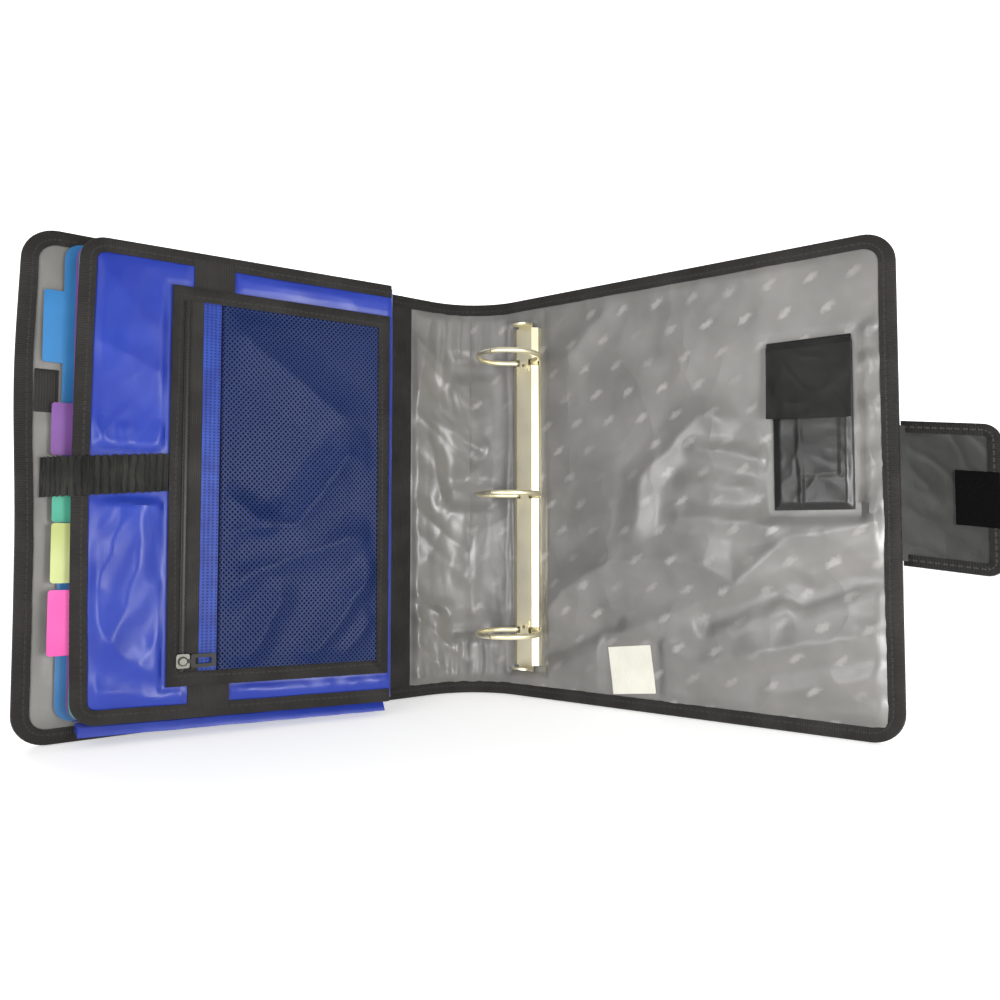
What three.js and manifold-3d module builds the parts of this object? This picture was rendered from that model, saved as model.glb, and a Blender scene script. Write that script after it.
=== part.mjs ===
// A cloth covered ring binder with an expanding file, standing open on its lower edges.
// Millimetres, +Z up. The origin is the middle of the spine's foot; the covers open toward -Y.
//
// Each cover has a frame of its own. Its x runs along the cover from the hinge line, z is up, and
// v is the height above the lining, toward the reader, so that y = -v. The front cover lies at -x.
import * as THREE from 'three';
import { mergeVertices } from 'three/addons/utils/BufferGeometryUtils.js';
import Module from 'manifold-3d';

const wasm = await Module();
wasm.setup();

// Clearance between pieces that lie on each other
const gap = 0.3;

// Covers: width is from the hinge line to the outer edge
const height = 325;
const coverWidth = 288.6;
const coverRadius = 20;
const frontTilt = 30.3;
const backTilt = 36.4;
const hingeStart = 0.6;
const liningThick = 0.5;
const boardThick = 2.6;
const skinThick = 0.5;

// Folded tape that binds every edge
const tapeThick = 0.8;
const tapeWidth = 10;

// Spine: a bow between the two hinge lines
const spineWidth = 66;
const spineSag = 9;
const spineRelief = 3.2;

// Ring metal on the back cover
const ringPitch = 108;
const ringCount = 3;
const ringAcross = 18.3;
const ringRadius = 24;
const wireRadius = 2;
const ringRise = 31.1;
const ringTipGap = 0.3;
const housingLength = height - 53;
const housingWidth = 24;
const housingHeight = 7;
const housingWall = 0.8;
const bladeThick = 1;
const bladePivotIn = 1.2;
const bladeRise = 2;
const leverPad = 15;
const leverRise = 15;
const leverThick = 1.6;
const leverReach = 4;
const rivetRadius = 2.5;
const rivetBore = 1.4;
const rivetFromRing = 2.5;

// Pocket with a flap on the back cover
const pocketWidth = 50;
const pocketHeight = 110;
const pocketFoot = height - 178;
const pocketFromEdge = 26.2;
const pocketDepth = 3.3;
const pocketWall = 0.8;
const pocketSeam = 3;
const flapWidth = 53;
const flapLength = 50;
const flapThick = 1;

// Care label, bare
const labelAcross = 107.4;
const labelRise = 30.3;
const labelWidth = 34;
const labelHeight = 35;
const labelThick = 0.3;

// Closing tab on the outer edge of the back cover
const tabMiddle = height / 2 - 5.5;
const tabHeight = 91;
const tabLength = 53.5;
const tabFold = 27.8;
const tabDroop = 0.12;
const tabCloth = 1.6;
const tabTapeWidth = 7.5;
const tabTapeThick = 0.9;
const tabRadius = 9.4;
const tabAxisOut = 1.2;
const tabTapeStart = 5.6;
const hookHeight = 33;
const hookStart = 29.2;
const hookThick = 1.2;
const loopWidth = 34;
const loopHeight = 60;

// Expanding file on the front cover, fanned out from its outer edge to the spine
const fileNear = 58.4;
const fileWidth = coverWidth - fileNear - 30.6;
const fileFoot = 10.6;
const fileHeight = height - fileFoot - 10.4;
const fileRadius = 14.5;
const fileDepthNear = 47.4;
const fileDepthFar = 23.7;
const fileRaise = 0.0172;
const filePanelThick = 1.5;
const fileBackThick = 1;
const fileTapeWidth = 9.5;
const dividerThick = 0.5;
const dividerFoot = 14.5;
const dividerRadius = 10;
const dividerTabRadius = 2;
const bellowsThick = 3.7;
const gussetDrop = 7.5;
const dividers = [
  { name: 'divider_blue', colour: 0x2f86cf, reach: 8, tab: 19, from: 239, high: 46 },
  { name: 'divider_purple', colour: 0x82559f, reach: 2, tab: 13.5, from: 180.5, high: 33 },
  { name: 'divider_green', colour: 0x50af96, reach: 1, tab: 12.5, from: 138.5, high: 30 },
  { name: 'divider_yellow', colour: 0xbec882, reach: 0, tab: 13, from: 101, high: 37 },
  { name: 'divider_pink', colour: 0xeb5aaa, reach: -1, tab: 14.5, from: 57, high: 40 },
];

// Black finger tab sewn beside the outer tape of the front cover
const sideTabWidth = 10.8;
const sideTabHeight = 27.2;
const sideTabFoot = height - 117.3;
const sideTabThick = 1.2;

// Black tape on the lining, by which the file is sewn to the front cover
const seamTapeStart = 18.5;
const seamTapeThick = 0.8;

// Mesh pouch on the file's front panel, measured from the panel's edge beside the spine
const pouchNear = 2;
const pouchWidth = fileWidth - 53.6;
const pouchFoot = 31.5;
const pouchHeight = fileHeight - 45;
const pouchRadius = 1.5;
const pouchTapeThick = 0.6;
const pouchTapeSide = 8.8;
const pouchTapeOuter = 7;
const pouchTapeEnd = 9.5;
const pouchClothThick = 0.6;
const zipTapeWidth = 9.2;
const zipTeethWidth = 3.2;
const zipTeethThick = 1.1;
const zipTeethGap = 0.4;
const stripWidth = 10.4;
const netGapAcross = 12.4;
const netGapUp = 13.6;
const netStrand = 1.3;
const strapWidth = 25;
const strapThick = 0.8;
const strapFromOuter = 12.6;
const sliderWidth = 8;
const sliderLength = 9;
const sliderThick = 2.4;
const sliderRise = 43.5;
const pullLength = 15;
const pullWidth = 8.6;
const pullThick = 0.9;
const postRadius = 1.2;

// Gathered elastic strap that holds the file shut
const elasticWidth = 24;
const elasticThick = 1.8;
const elasticLift = 1.4;
const elasticMiddle = height / 2 + 0.5;
const elasticDroop = 0.1;
const elasticGathers = 9;

const degree = Math.PI / 180;

// Layers of a cover, as heights v above the lining's face
const boardFace = -liningThick - gap;
const boardBack = boardFace - boardThick;
const skinFace = boardBack - gap;
const skinBack = skinFace - skinThick;
const tapeFront = gap + tapeThick;
const tapeBack = skinBack - gap - tapeThick;
const layerInset = tapeThick + gap;

// Spine bow, and the hinge lines at its two ends; the foot's middle is at y = 0
const hingeX = spineWidth / 2;
const hingeY = -spineSag + (tapeFront + tapeBack) / 2;
const bowRadius = (hingeX * hingeX + spineSag * spineSag) / (2 * spineSag);
const bowCentreY = hingeY + spineSag - bowRadius;
const bowAngle = Math.asin(hingeX / bowRadius);

const cloth = (colour) => new THREE.MeshStandardMaterial({ color: colour, roughness: 0.75 });
const plastic = (colour) => new THREE.MeshStandardMaterial({ color: colour, roughness: 0.4 });
const nickel = new THREE.MeshStandardMaterial({ color: 0xd8d2b0, roughness: 0.25, metalness: 1 });
const greyLining = cloth(0x8d8b87);
const blueNylon = new THREE.MeshStandardMaterial({ color: 0x2c3db4, roughness: 0.45 });
const blackTape = cloth(0x33312e);
const blackCloth = cloth(0x2a2a29);
const greyboard = cloth(0x8f8a80);

// An outline from corners [x, y, radius], with its corners rounded in a few steps each
function rounded(corners, steps = 6) {
  const points = [];
  corners.forEach(([x, y, radius], i) => {
    const at = new THREE.Vector2(x, y);
    if (!radius) {
      points.push(at);
      return;
    }
    const [bx, by] = corners[(i + corners.length - 1) % corners.length];
    const [ax, ay] = corners[(i + 1) % corners.length];
    const back = new THREE.Vector2(bx, by).sub(at).normalize();
    const ahead = new THREE.Vector2(ax, ay).sub(at).normalize();
    const half = Math.acos(THREE.MathUtils.clamp(back.dot(ahead), -1, 1)) / 2;
    const run = radius / Math.tan(half);
    const centre = back.clone().add(ahead).setLength(radius / Math.sin(half)).add(at);
    const start = back.clone().multiplyScalar(run).add(at).sub(centre);
    const end = ahead.clone().multiplyScalar(run).add(at).sub(centre);
    const turn = Math.atan2(start.cross(end), start.dot(end));
    for (let k = 0; k <= steps; k += 1) {
      points.push(start.clone().rotateAround(new THREE.Vector2(), (turn * k) / steps).add(centre));
    }
  });
  return new THREE.Shape(points);
}

// A rectangle with the same radius at its four corners
function rectangle(x0, z0, x1, z1, radius = 0) {
  return rounded([[x0, z0, radius], [x1, z0, radius], [x1, z1, radius], [x0, z1, radius]]);
}

// A flat piece: its outline in x and z, from height v0 to v1 above the lining
function slab(shape, v0, v1) {
  const geometry = new THREE.ExtrudeGeometry(shape, { depth: v1 - v0, bevelEnabled: false });
  geometry.translate(0, 0, v0);
  return geometry.rotateX(Math.PI / 2);
}

// An upright piece: its plan in x and y, from z0 to z1
function upright(shape, z0, z1) {
  const geometry = new THREE.ExtrudeGeometry(shape, { depth: z1 - z0, bevelEnabled: false });
  return geometry.translate(0, 0, z0);
}

function signedVolume(geometry) {
  const { array } = geometry.attributes.position;
  const index = geometry.index.array;
  const [a, b, c] = [new THREE.Vector3(), new THREE.Vector3(), new THREE.Vector3()];
  let sum = 0;
  for (let i = 0; i < index.length; i += 3) {
    a.fromArray(array, 3 * index[i]);
    b.fromArray(array, 3 * index[i + 1]);
    c.fromArray(array, 3 * index[i + 2]);
    sum += a.dot(b.cross(c));
  }
  return sum;
}

// A geometry as a solid for joining and cutting, with its faces outward
function solid(geometry) {
  const bare = geometry.clone();
  bare.deleteAttribute('normal');
  bare.deleteAttribute('uv');
  const merged = mergeVertices(bare, 1e-4);
  const triVerts = new Uint32Array(merged.index.array);
  if (signedVolume(merged) < 0) {
    for (let i = 0; i < triVerts.length; i += 3) {
      [triVerts[i], triVerts[i + 1]] = [triVerts[i + 1], triVerts[i]];
    }
  }
  const vertProperties = new Float32Array(merged.attributes.position.array);
  return new wasm.Manifold(new wasm.Mesh({ numProp: 3, vertProperties, triVerts }));
}

function geometryOf(manifold) {
  const { vertProperties, triVerts } = manifold.getMesh();
  const geometry = new THREE.BufferGeometry();
  geometry.setAttribute('position', new THREE.BufferAttribute(new Float32Array(vertProperties), 3));
  geometry.setIndex(new THREE.BufferAttribute(new Uint32Array(triVerts), 1));
  return geometry;
}

function cut(geometry, ...tools) {
  return geometryOf(tools.reduce((body, tool) => body.subtract(solid(tool)), solid(geometry)));
}

function join(first, ...others) {
  return geometryOf(others.reduce((body, other) => body.add(solid(other)), solid(first)));
}

function piece(name, geometry, material, parent) {
  const flat = geometry.index ? geometry.toNonIndexed() : geometry;
  flat.computeVertexNormals();
  const mesh = new THREE.Mesh(flat, material);
  mesh.name = name;
  parent.add(mesh);
  return mesh;
}

function frameAt(parent, x, y, angle = 0) {
  const group = new THREE.Group();
  group.position.set(x, y, 0);
  group.rotation.z = angle;
  parent.add(group);
  return group;
}

// A tape folded round an edge: an outer plate, less the room of what it grips, less its window
function foldedTape(outer, room, window, back, front, thick) {
  const reach = 2 * (front - back);
  return cut(
    slab(outer, back, front),
    slab(room, back + thick, front - thick),
    slab(window, back - reach, front + reach),
  );
}

// Spine: layers of one bow

// The bow's plan between heights v0 and v1, ending short of both hinge lines
function bowBand(v0, v1, short) {
  const end = bowAngle - short / bowRadius;
  const steps = 16;
  const points = [];
  const at = (v, angle) => new THREE.Vector2(
    (bowRadius - v) * Math.sin(angle),
    bowCentreY + (bowRadius - v) * Math.cos(angle),
  );
  for (let k = 0; k <= steps; k += 1) {
    points.push(at(v0, end * ((2 * k) / steps - 1)));
  }
  for (let k = steps; k >= 0; k -= 1) {
    points.push(at(v1, end * ((2 * k) / steps - 1)));
  }
  return new THREE.Shape(points);
}

function spineTape(z0, z1, web0, web1) {
  return join(
    upright(bowBand(tapeBack, tapeFront, spineRelief), web0, web1),
    upright(bowBand(gap, tapeFront, spineRelief), z0, z1),
    upright(bowBand(tapeBack, tapeBack + tapeThick, spineRelief), z0, z1),
  );
}

function makeSpine(parent) {
  const foot = layerInset;
  const top = height - layerInset;
  const skin = upright(bowBand(skinBack, skinFace, spineRelief), foot, top);
  const stiffener = upright(bowBand(boardBack, boardFace, spineRelief), foot, top);
  const lining = upright(bowBand(-liningThick, 0, gap), foot, top);
  piece('spine_outer_cloth', skin, blueNylon, parent);
  piece('spine_stiffener', stiffener, greyboard, parent);
  piece('spine_lining', lining, greyLining, parent);
  piece('spine_tape_upper', spineTape(height - tapeWidth, height, height - tapeThick, height), blackTape, parent);
  piece('spine_tape_lower', spineTape(0, tapeWidth, 0, tapeThick), blackTape, parent);
}

// Covers: board between lining and outer cloth, bound by folded tape

// A cover's outline, drawn in from its three free edges; side is 1 at the back and -1 at the front
function coverOutline(side, inset, start = hingeStart) {
  const radius = coverRadius - inset;
  const far = side * (coverWidth - inset);
  return rounded([
    [side * start, inset, 0],
    [far, inset, radius],
    [far, height - inset, radius],
    [side * start, height - inset, 0],
  ]);
}

function makeCover(name, side, holes, parent) {
  const inner = coverOutline(side, layerInset);
  const bored = (v0, v1) => {
    const sheet = slab(inner, v0, v1);
    const posts = holes.map(([x, z]) => post(x, z, rivetRadius + gap, v0 - 1, v1 + 1));
    return posts.length ? cut(sheet, ...posts) : sheet;
  };
  const tape = foldedTape(
    coverOutline(side, 0),
    coverOutline(side, tapeThick, -hingeStart),
    coverOutline(side, tapeWidth, -hingeStart),
    tapeBack,
    tapeFront,
    tapeThick,
  );
  piece(`${name}_outer_cloth`, bored(skinBack, skinFace), blueNylon, parent);
  piece(`${name}_board`, bored(boardBack, boardFace), greyboard, parent);
  piece(`${name}_lining`, bored(-liningThick, 0), greyLining, parent);
  piece(`${name}_tape`, tape, blackTape, parent);
}

// A round post across the cover, from height v0 to v1
function post(x, z, radius, v0, v1, sides = 16) {
  const geometry = new THREE.CylinderGeometry(radius, radius, v1 - v0, sides);
  return geometry.translate(x, -(v0 + v1) / 2, z);
}

// Ring metal

const middle = height / 2;
const ringHeights = Array.from({ length: ringCount }, (_, k) => middle + (k - (ringCount - 1) / 2) * ringPitch);
const endRings = [ringHeights[0], ringHeights[ringCount - 1]];
const rivets = [[ringAcross, endRings[0] + rivetFromRing], [ringAcross, endRings[1] - rivetFromRing]];
const housingEnds = [middle - housingLength / 2, middle + housingLength / 2];
const bladePivot = [housingWidth / 2 - bladePivotIn, bladeRise - 0.4];
const wireFoot = [6.5, bladeRise];
const slotReach = [wireFoot[0] - wireRadius - 2 * gap, housingWidth / 2 + 1];

// Half of the arch's section, at the outer or the inner face
function archSection(inset) {
  const half = housingWidth / 2 - inset;
  const top = gap + housingHeight - inset;
  const crown = half * 0.58;
  const shoulder = gap + housingHeight * 0.52;
  return [[half, gap], [half - 0.6, shoulder], [crown, top], [-crown, top], [-half + 0.6, shoulder], [-half, gap]];
}

function uprightArch(corners, z0, z1) {
  const points = corners.map(([x, v]) => new THREE.Vector2(ringAcross + x, -v));
  return upright(new THREE.Shape(points), z0, z1);
}

function makeHousing(parent) {
  const [z0, z1] = housingEnds;
  const inside = archSection(housingWall);
  inside[0][1] -= 1;
  inside[inside.length - 1][1] -= 1;
  const slots = ringHeights.flatMap((z) => [-1, 1].map((side) => {
    const x0 = ringAcross + side * slotReach[0];
    const x1 = ringAcross + side * slotReach[1];
    const halfSlot = wireRadius + 2 * gap;
    return slab(rectangle(Math.min(x0, x1), z - halfSlot, Math.max(x0, x1), z + halfSlot), 1.6, 12);
  }));
  const seats = rivets.map(([x, z]) => (
    slab(rectangle(x - 4.6, z - 5, x + 4.6, z + 5, 0.8), housingHeight - 0.3, housingHeight + 0.8)
  ));
  const holes = rivets.map(([x, z]) => post(x, z, rivetRadius + gap, 4, 12));
  const arch = join(uprightArch(archSection(0), z0, z1), ...seats);
  const housing = cut(arch, uprightArch(inside, z0 - 1, z1 + 1), ...slots, ...holes);
  piece('ring_housing', housing, nickel, parent);
}

// A tubular rivet from the cover's outer face to the top of the housing
function makeRivets(parent) {
  const low = skinBack - gap - 1;
  const seat = housingHeight + 0.8 + gap;
  const profile = [
    [0, low], [5, low], [5, skinBack - gap], [rivetRadius, skinBack - gap], [rivetRadius, seat],
    [rivetRadius + 1, seat], [rivetRadius + 1, seat + 0.5], [rivetBore, seat + 0.5], [rivetBore, seat - 6],
    [0, seat - 6],
  ].map(([x, y]) => new THREE.Vector2(x, y));
  rivets.forEach(([x, z], i) => {
    const rivet = geometryOf(solid(new THREE.LatheGeometry(profile, 16).rotateX(Math.PI)));
    piece(`ring_rivet_${i === 0 ? 'lower' : 'upper'}`, rivet.translate(x, 0, z), nickel, parent);
  });
}

// The line of one half ring's wire, from its tip down into the housing; side is -1 or 1
function wireLine(side, z) {
  const points = [];
  const lean = Math.asin((1.6 * ringTipGap) / ringRadius);
  const last = 146 * degree;
  for (let k = 0; k <= 14; k += 1) {
    const angle = lean + ((last - lean) * k) / 14;
    points.push([ringRadius * Math.sin(angle), ringRise + ringRadius * Math.cos(angle)]);
  }
  points.push([8.9, housingHeight + 1.4]);
  points.push([wireFoot[0] + 0.6, housingHeight - 1.4]);
  points.push(wireFoot);
  return new THREE.CatmullRomCurve3(
    points.map(([x, v]) => new THREE.Vector3(ringAcross + side * x, -v, z)),
    false,
    'centripetal',
  );
}

function halfRing(side, z) {
  const section = new THREE.Shape();
  section.absarc(0, 0, wireRadius, 0, 2 * Math.PI, false);
  const geometry = new THREE.ExtrudeGeometry(section, {
    steps: 20,
    curveSegments: 5,
    extrudePath: wireLine(side, z),
    bevelEnabled: false,
  });
  const seat = slab(new THREE.Shape([
    new THREE.Vector2(-60, z - 9), new THREE.Vector2(90, z - 9),
    new THREE.Vector2(90, z + 9), new THREE.Vector2(-60, z + 9),
  ]), -6, bladeRise + bladeThick / 2);
  return cut(geometry, seat);
}

// A blade under the arch, with the half rings of its side staked into it
function makeRingSide(label, side, parent) {
  const [z0, z1] = [housingEnds[0] + 6.5, housingEnds[1] - 6.5];
  const edges = [ringAcross + side * ringTipGap, ringAcross + side * (bladePivot[0] - 0.6)];
  const plate = slab(
    rectangle(Math.min(...edges), z0, Math.max(...edges), z1),
    bladeRise,
    bladeRise + bladeThick,
  );
  const reliefs = rivets.map(([x, z]) => post(x, z, rivetRadius + 3 * gap, 0, 6));
  const halves = ringHeights.map((z) => halfRing(side, z));
  piece(`half_rings_${label}`, join(cut(plate, ...reliefs), ...halves), nickel, parent);
}

// A lever at one end of the housing; way is 1 at the upper end and -1 at the lower
function makeLever(label, way, parent) {
  const end = way > 0 ? housingEnds[1] : housingEnds[0];
  const pivotZ = end - way * 2;
  const pivotV = 4.6;
  const band = [end - way * 3.4, end + way * (leverReach + 0.6)];
  const base = slab(
    rectangle(ringAcross - 6.4, Math.min(...band), ringAcross + 6.4, Math.max(...band)),
    pivotV - 0.6,
    pivotV + 0.6,
  );
  const half = leverPad / 2;
  const pad = upright(rounded([
    [-half + 1, 0.6, 0],
    [half - 1, 0.6, 0],
    [half, -leverRise, half - 1.6],
    [-half, -leverRise, half - 1.6],
  ]), -leverThick / 2, leverThick / 2);
  pad.rotateX(way * 9 * degree);
  pad.translate(ringAcross, -pivotV, end + way * (leverReach - 0.6));
  const pin = new THREE.CylinderGeometry(0.6, 0.6, 15.6, 12).rotateZ(Math.PI / 2);
  pin.translate(ringAcross, -pivotV, pivotZ);
  piece(`ring_lever_${label}`, join(base, pad, pin), nickel, parent);
}

// Pocket and care label

function makePocket(parent) {
  const far = coverWidth - pocketFromEdge;
  const near = far - pocketWidth;
  const top = pocketFoot + pocketHeight;
  const front = gap + pocketDepth;
  const room = rectangle(near + pocketSeam, pocketFoot + pocketSeam, far - pocketSeam, top + 5);
  const ridge = rectangle(near + 17, pocketFoot + 22, far - 9, pocketFoot + 68, 2);
  const body = cut(
    join(slab(rectangle(near, pocketFoot, far, top), gap, front), slab(ridge, front - 0.4, front + 0.5)),
    slab(room, 0, front - pocketWall),
  );
  const flapFar = far - 0.5;
  const flapNear = flapFar - flapWidth;
  const flapBack = front + 0.5 + gap;
  const hem = slab(rectangle(flapNear, top + gap, flapFar, top + gap + 3.6), gap, front);
  const flap = slab(
    rounded([[flapNear, top + 0.6 - flapLength, 3], [flapFar, top + 0.6 - flapLength, 3],
      [flapFar, top + 0.6, 0], [flapNear, top + 0.6, 0]]),
    flapBack,
    flapBack + flapThick,
  );
  piece('pocket_body', body, plastic(0x4c4c4a), parent);
  piece('pocket_flap_hem', hem, blackCloth, parent);
  piece('pocket_flap', flap, blackCloth, parent);
}

function makeLabel(parent) {
  const label = slab(
    rectangle(-labelWidth / 2, -labelHeight / 2, labelWidth / 2, labelHeight / 2),
    gap,
    gap + labelThick,
  );
  label.rotateY(7 * degree);
  label.translate(labelAcross, 0, labelRise);
  piece('care_label', label, cloth(0xf0f0e4), parent);
}

// Closing tab

// Slants a piece down as it goes out along x
function droop(geometry, slope) {
  return geometry.applyMatrix4(new THREE.Matrix4().set(1, 0, 0, 0, 0, 1, 0, 0, -slope, 0, 1, 0, 0, 0, 0, 1));
}

function tabOutline(x0, x1, inset, radius) {
  const low = tabMiddle - tabHeight / 2 + inset;
  const high = tabMiddle + tabHeight / 2 - inset;
  return rounded([[x0, low, 0], [x1, low, radius], [x1, high, radius], [x0, high, 0]]);
}

function makeClosingTab(parent) {
  const core = (boardFace + boardBack) / 2 - gap;
  const cloths = [core - tabCloth / 2, core + tabCloth / 2];
  const tapes = [cloths[0] - gap - tabTapeThick, cloths[1] + gap + tabTapeThick];
  const inset = tabTapeThick + gap;
  const fold = tabFold;
  const tab = frameAt(parent, coverWidth, 0);
  const near = slab(tabOutline(tabAxisOut - 0.7, fold - 0.2, inset, 0), ...cloths);
  const far = slab(tabOutline(fold + 0.2, tabLength - inset, inset, tabRadius - inset), ...cloths);
  piece('tab_cloth_inner_half', droop(near, tabDroop), greyLining, tab);
  piece('tab_cloth_outer_half', droop(far, tabDroop), greyLining, tab);
  const nearTape = foldedTape(
    tabOutline(tabTapeStart, fold - 0.2, 0, 0),
    tabOutline(0, fold + 5, tabTapeThick, 0),
    tabOutline(0, fold + 5, tabTapeWidth, 0),
    tapes[0],
    tapes[1],
    tabTapeThick,
  );
  const cutHigh = slab(rectangle(0, tabMiddle, tabLength, height), -20, 20);
  const cutLow = slab(rectangle(0, 0, tabLength, tabMiddle), -20, 20);
  piece('tab_tape_upper', droop(cut(nearTape, cutLow), tabDroop), blackTape, tab);
  piece('tab_tape_lower', droop(cut(nearTape, cutHigh), tabDroop), blackTape, tab);
  const farTape = foldedTape(
    tabOutline(fold + 0.2, tabLength, 0, tabRadius),
    tabOutline(0, tabLength - tabTapeThick, tabTapeThick, tabRadius - tabTapeThick),
    tabOutline(0, tabLength - tabTapeWidth, tabTapeWidth, 2),
    tapes[0],
    tapes[1],
    tabTapeThick,
  );
  piece('tab_tape_end', droop(farTape, tabDroop), blackTape, tab);
  const low = tabMiddle - hookHeight / 2;
  const high = tabMiddle + hookHeight / 2;
  const hook = join(
    slab(rectangle(hookStart, low, tabLength - tabTapeWidth - gap, high), cloths[1] + gap, tapes[1] + gap),
    slab(rectangle(hookStart, low, tabLength - 1.5, high), tapes[1] + gap, tapes[1] + gap + hookThick - 0.4),
  );
  piece('tab_hook_patch', droop(hook, tabDroop), blackCloth, tab);
}

// The loop patch lies on the front cover's outer face and laps over its tape
function makeLoopPatch(parent) {
  const far = coverWidth - 3;
  const near = far - loopWidth;
  const edge = coverWidth - tapeWidth - gap;
  const low = tabMiddle - 4 - loopHeight / 2;
  const high = low + loopHeight;
  const patch = join(
    slab(rectangle(-edge, low, -near, high), tapeBack - gap, skinBack - gap),
    slab(rectangle(-far, low, -near, high), tapeBack - gap - 0.8, tapeBack - gap),
  );
  piece('front_loop_patch', patch, blackCloth, parent);
}

// File on the front cover

const filePlanes = dividers.length + 1;
const stackBack = gap + 0.1 + fileBackThick;
const panelBack = filePanelThick + gap + tapeThick;
const fileFan = Math.asin((fileDepthNear - fileDepthFar) / fileWidth);

// Height above the lining of plane k of the file, beside the spine and at the outer edge
function planeDepths(k) {
  const share = k / filePlanes;
  const near = stackBack + (fileDepthNear - panelBack - stackBack) * share;
  const far = stackBack + (fileDepthFar - panelBack - stackBack) * share;
  return [near, far];
}

function makeDivider({ name, colour, reach, tab, from, high }, k, parent) {
  const [near, far] = planeDepths(k);
  const top = fileFoot + fileHeight;
  const edge = -(fileWidth + reach);
  const tip = -(fileWidth + tab);
  const frame = frameAt(parent, -fileNear + 0.1, -near, -Math.asin((near - far) / fileWidth));
  const outline = rounded([
    [0, dividerFoot, 0],
    [edge, dividerFoot, dividerRadius],
    [edge, from, 0],
    [tip, from, dividerTabRadius],
    [tip, from + high, dividerTabRadius],
    [edge, from + high, 0],
    [edge, top + 2, dividerRadius],
    [0, top + 2, 0],
  ], 4);
  piece(name, slab(outline, -dividerThick / 2, dividerThick / 2), plastic(colour), frame);
}

function makeFileBack(parent) {
  const near = fileNear - 1;
  const far = fileNear + fileWidth * Math.cos(fileFan) - 1;
  const top = fileFoot + fileHeight;
  const sheet = slab(rectangle(-far, dividerFoot - 1.5, -near, top, 6), gap + 0.1, stackBack);
  const bellows = slab(
    rectangle(-fileNear + 0.5, dividerFoot - 2, -fileNear + 0.5 + bellowsThick, top - 1),
    stackBack + gap,
    fileDepthNear - panelBack,
  );
  piece('file_back_panel', sheet, blueNylon, parent);
  piece('file_bellows', bellows, blueNylon, parent);
  const foot = new THREE.Shape([
    new THREE.Vector2(-fileNear - 1.6, fileFoot - gap - 0.2),
    new THREE.Vector2(-far + 2, fileFoot - gap - 0.2 + fileRaise * (fileWidth - 6)),
    new THREE.Vector2(-far + 2, fileFoot - gussetDrop),
    new THREE.Vector2(-fileNear - 1.6, fileFoot - gussetDrop + 1.5),
  ]);
  const beyond = slab(rectangle(-400, -50, 100, 50), 0, 100).rotateZ(-fileFan);
  beyond.translate(-fileNear, -fileDepthNear + 0.4, 0);
  piece('file_gusset', cut(slab(foot, stackBack + gap, 70), beyond), blueNylon, parent);
}

function makeSideTab(parent) {
  const far = coverWidth - tapeWidth - gap;
  const tab = rectangle(-far, sideTabFoot, -far + sideTabWidth, sideTabFoot + sideTabHeight, 3);
  piece('front_side_tab', slab(tab, gap, gap + sideTabThick), blackCloth, parent);
  const inset = tapeWidth + gap;
  const seam = rectangle(-fileNear + bellowsThick + gap, inset, -seamTapeStart, height - inset);
  piece('file_seam_tape', slab(seam, gap, gap + seamTapeThick), blackCloth, parent);
}

// The panel's frame: x from the spine side, and v from the panel's front face
const panelTop = fileFoot + fileHeight;

// Raises a piece of the panel as it goes out, as the file sits slightly askew on its cover
function raise(geometry) {
  return geometry.applyMatrix4(new THREE.Matrix4().set(1, 0, 0, 0, 0, 1, 0, 0, -fileRaise, 0, 1, 0, 0, 0, 0, 1));
}

function panelOutline(inset, start) {
  const radius = fileRadius - inset;
  const far = -(fileWidth - inset);
  return rounded([
    [start, fileFoot + inset, 0],
    [far, fileFoot + inset, radius],
    [far, panelTop - inset, radius],
    [start, panelTop - inset, 0],
  ]);
}

function makeFilePanel(parent) {
  const inset = tapeThick + gap;
  const sheet = slab(panelOutline(inset, 0), -filePanelThick, 0);
  const tape = foldedTape(
    panelOutline(0, 0),
    panelOutline(tapeThick, 5),
    panelOutline(fileTapeWidth, 5),
    -panelBack,
    gap + tapeThick,
    tapeThick,
  );
  piece('file_front_panel', raise(sheet), blueNylon, parent);
  piece('file_panel_tape', raise(tape), blackTape, parent);
}

// Pouch layers, as heights above the panel
const pouchBackFace = gap + pouchTapeThick + gap;
const pouchNetFace = pouchBackFace + pouchClothThick + gap;
const pouchNetFront = pouchNetFace + pouchClothThick;
const pouchFront = pouchNetFront + gap + pouchTapeThick;
const pouchTop = pouchFoot + pouchHeight;
const pouchFar = pouchNear + pouchWidth;
const pouchInset = pouchTapeThick + gap;
const zipLine = pouchFar - pouchTapeOuter - zipTeethWidth / 2 - gap;

function pouchOutline(inset, radius) {
  return rectangle(-pouchFar + inset, pouchFoot + inset, -pouchNear - inset, pouchTop - inset, radius);
}

function pouchSheet(s0, s1, v0, v1) {
  return raise(slab(rectangle(-s1, pouchFoot + pouchInset, -s0, pouchTop - pouchInset), v0, v1));
}

// The net's gaps are diamonds in staggered rows
function netHoles(x0, x1, z0, z1) {
  const halfX = netGapAcross / 2;
  const halfZ = netGapUp / 2;
  const holes = [];
  let row = 0;
  for (let z = z0 + halfZ; z <= z1 - halfZ; z += halfZ) {
    const shift = row % 2 ? halfX : 0;
    for (let x = x0 + halfX + shift; x <= x1 - halfX; x += netGapAcross) {
      holes.push(new THREE.Path([
        new THREE.Vector2(x - halfX + netStrand, z),
        new THREE.Vector2(x, z - halfZ + netStrand),
        new THREE.Vector2(x + halfX - netStrand, z),
        new THREE.Vector2(x, z + halfZ - netStrand),
      ]));
    }
    row += 1;
  }
  return holes;
}

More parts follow.
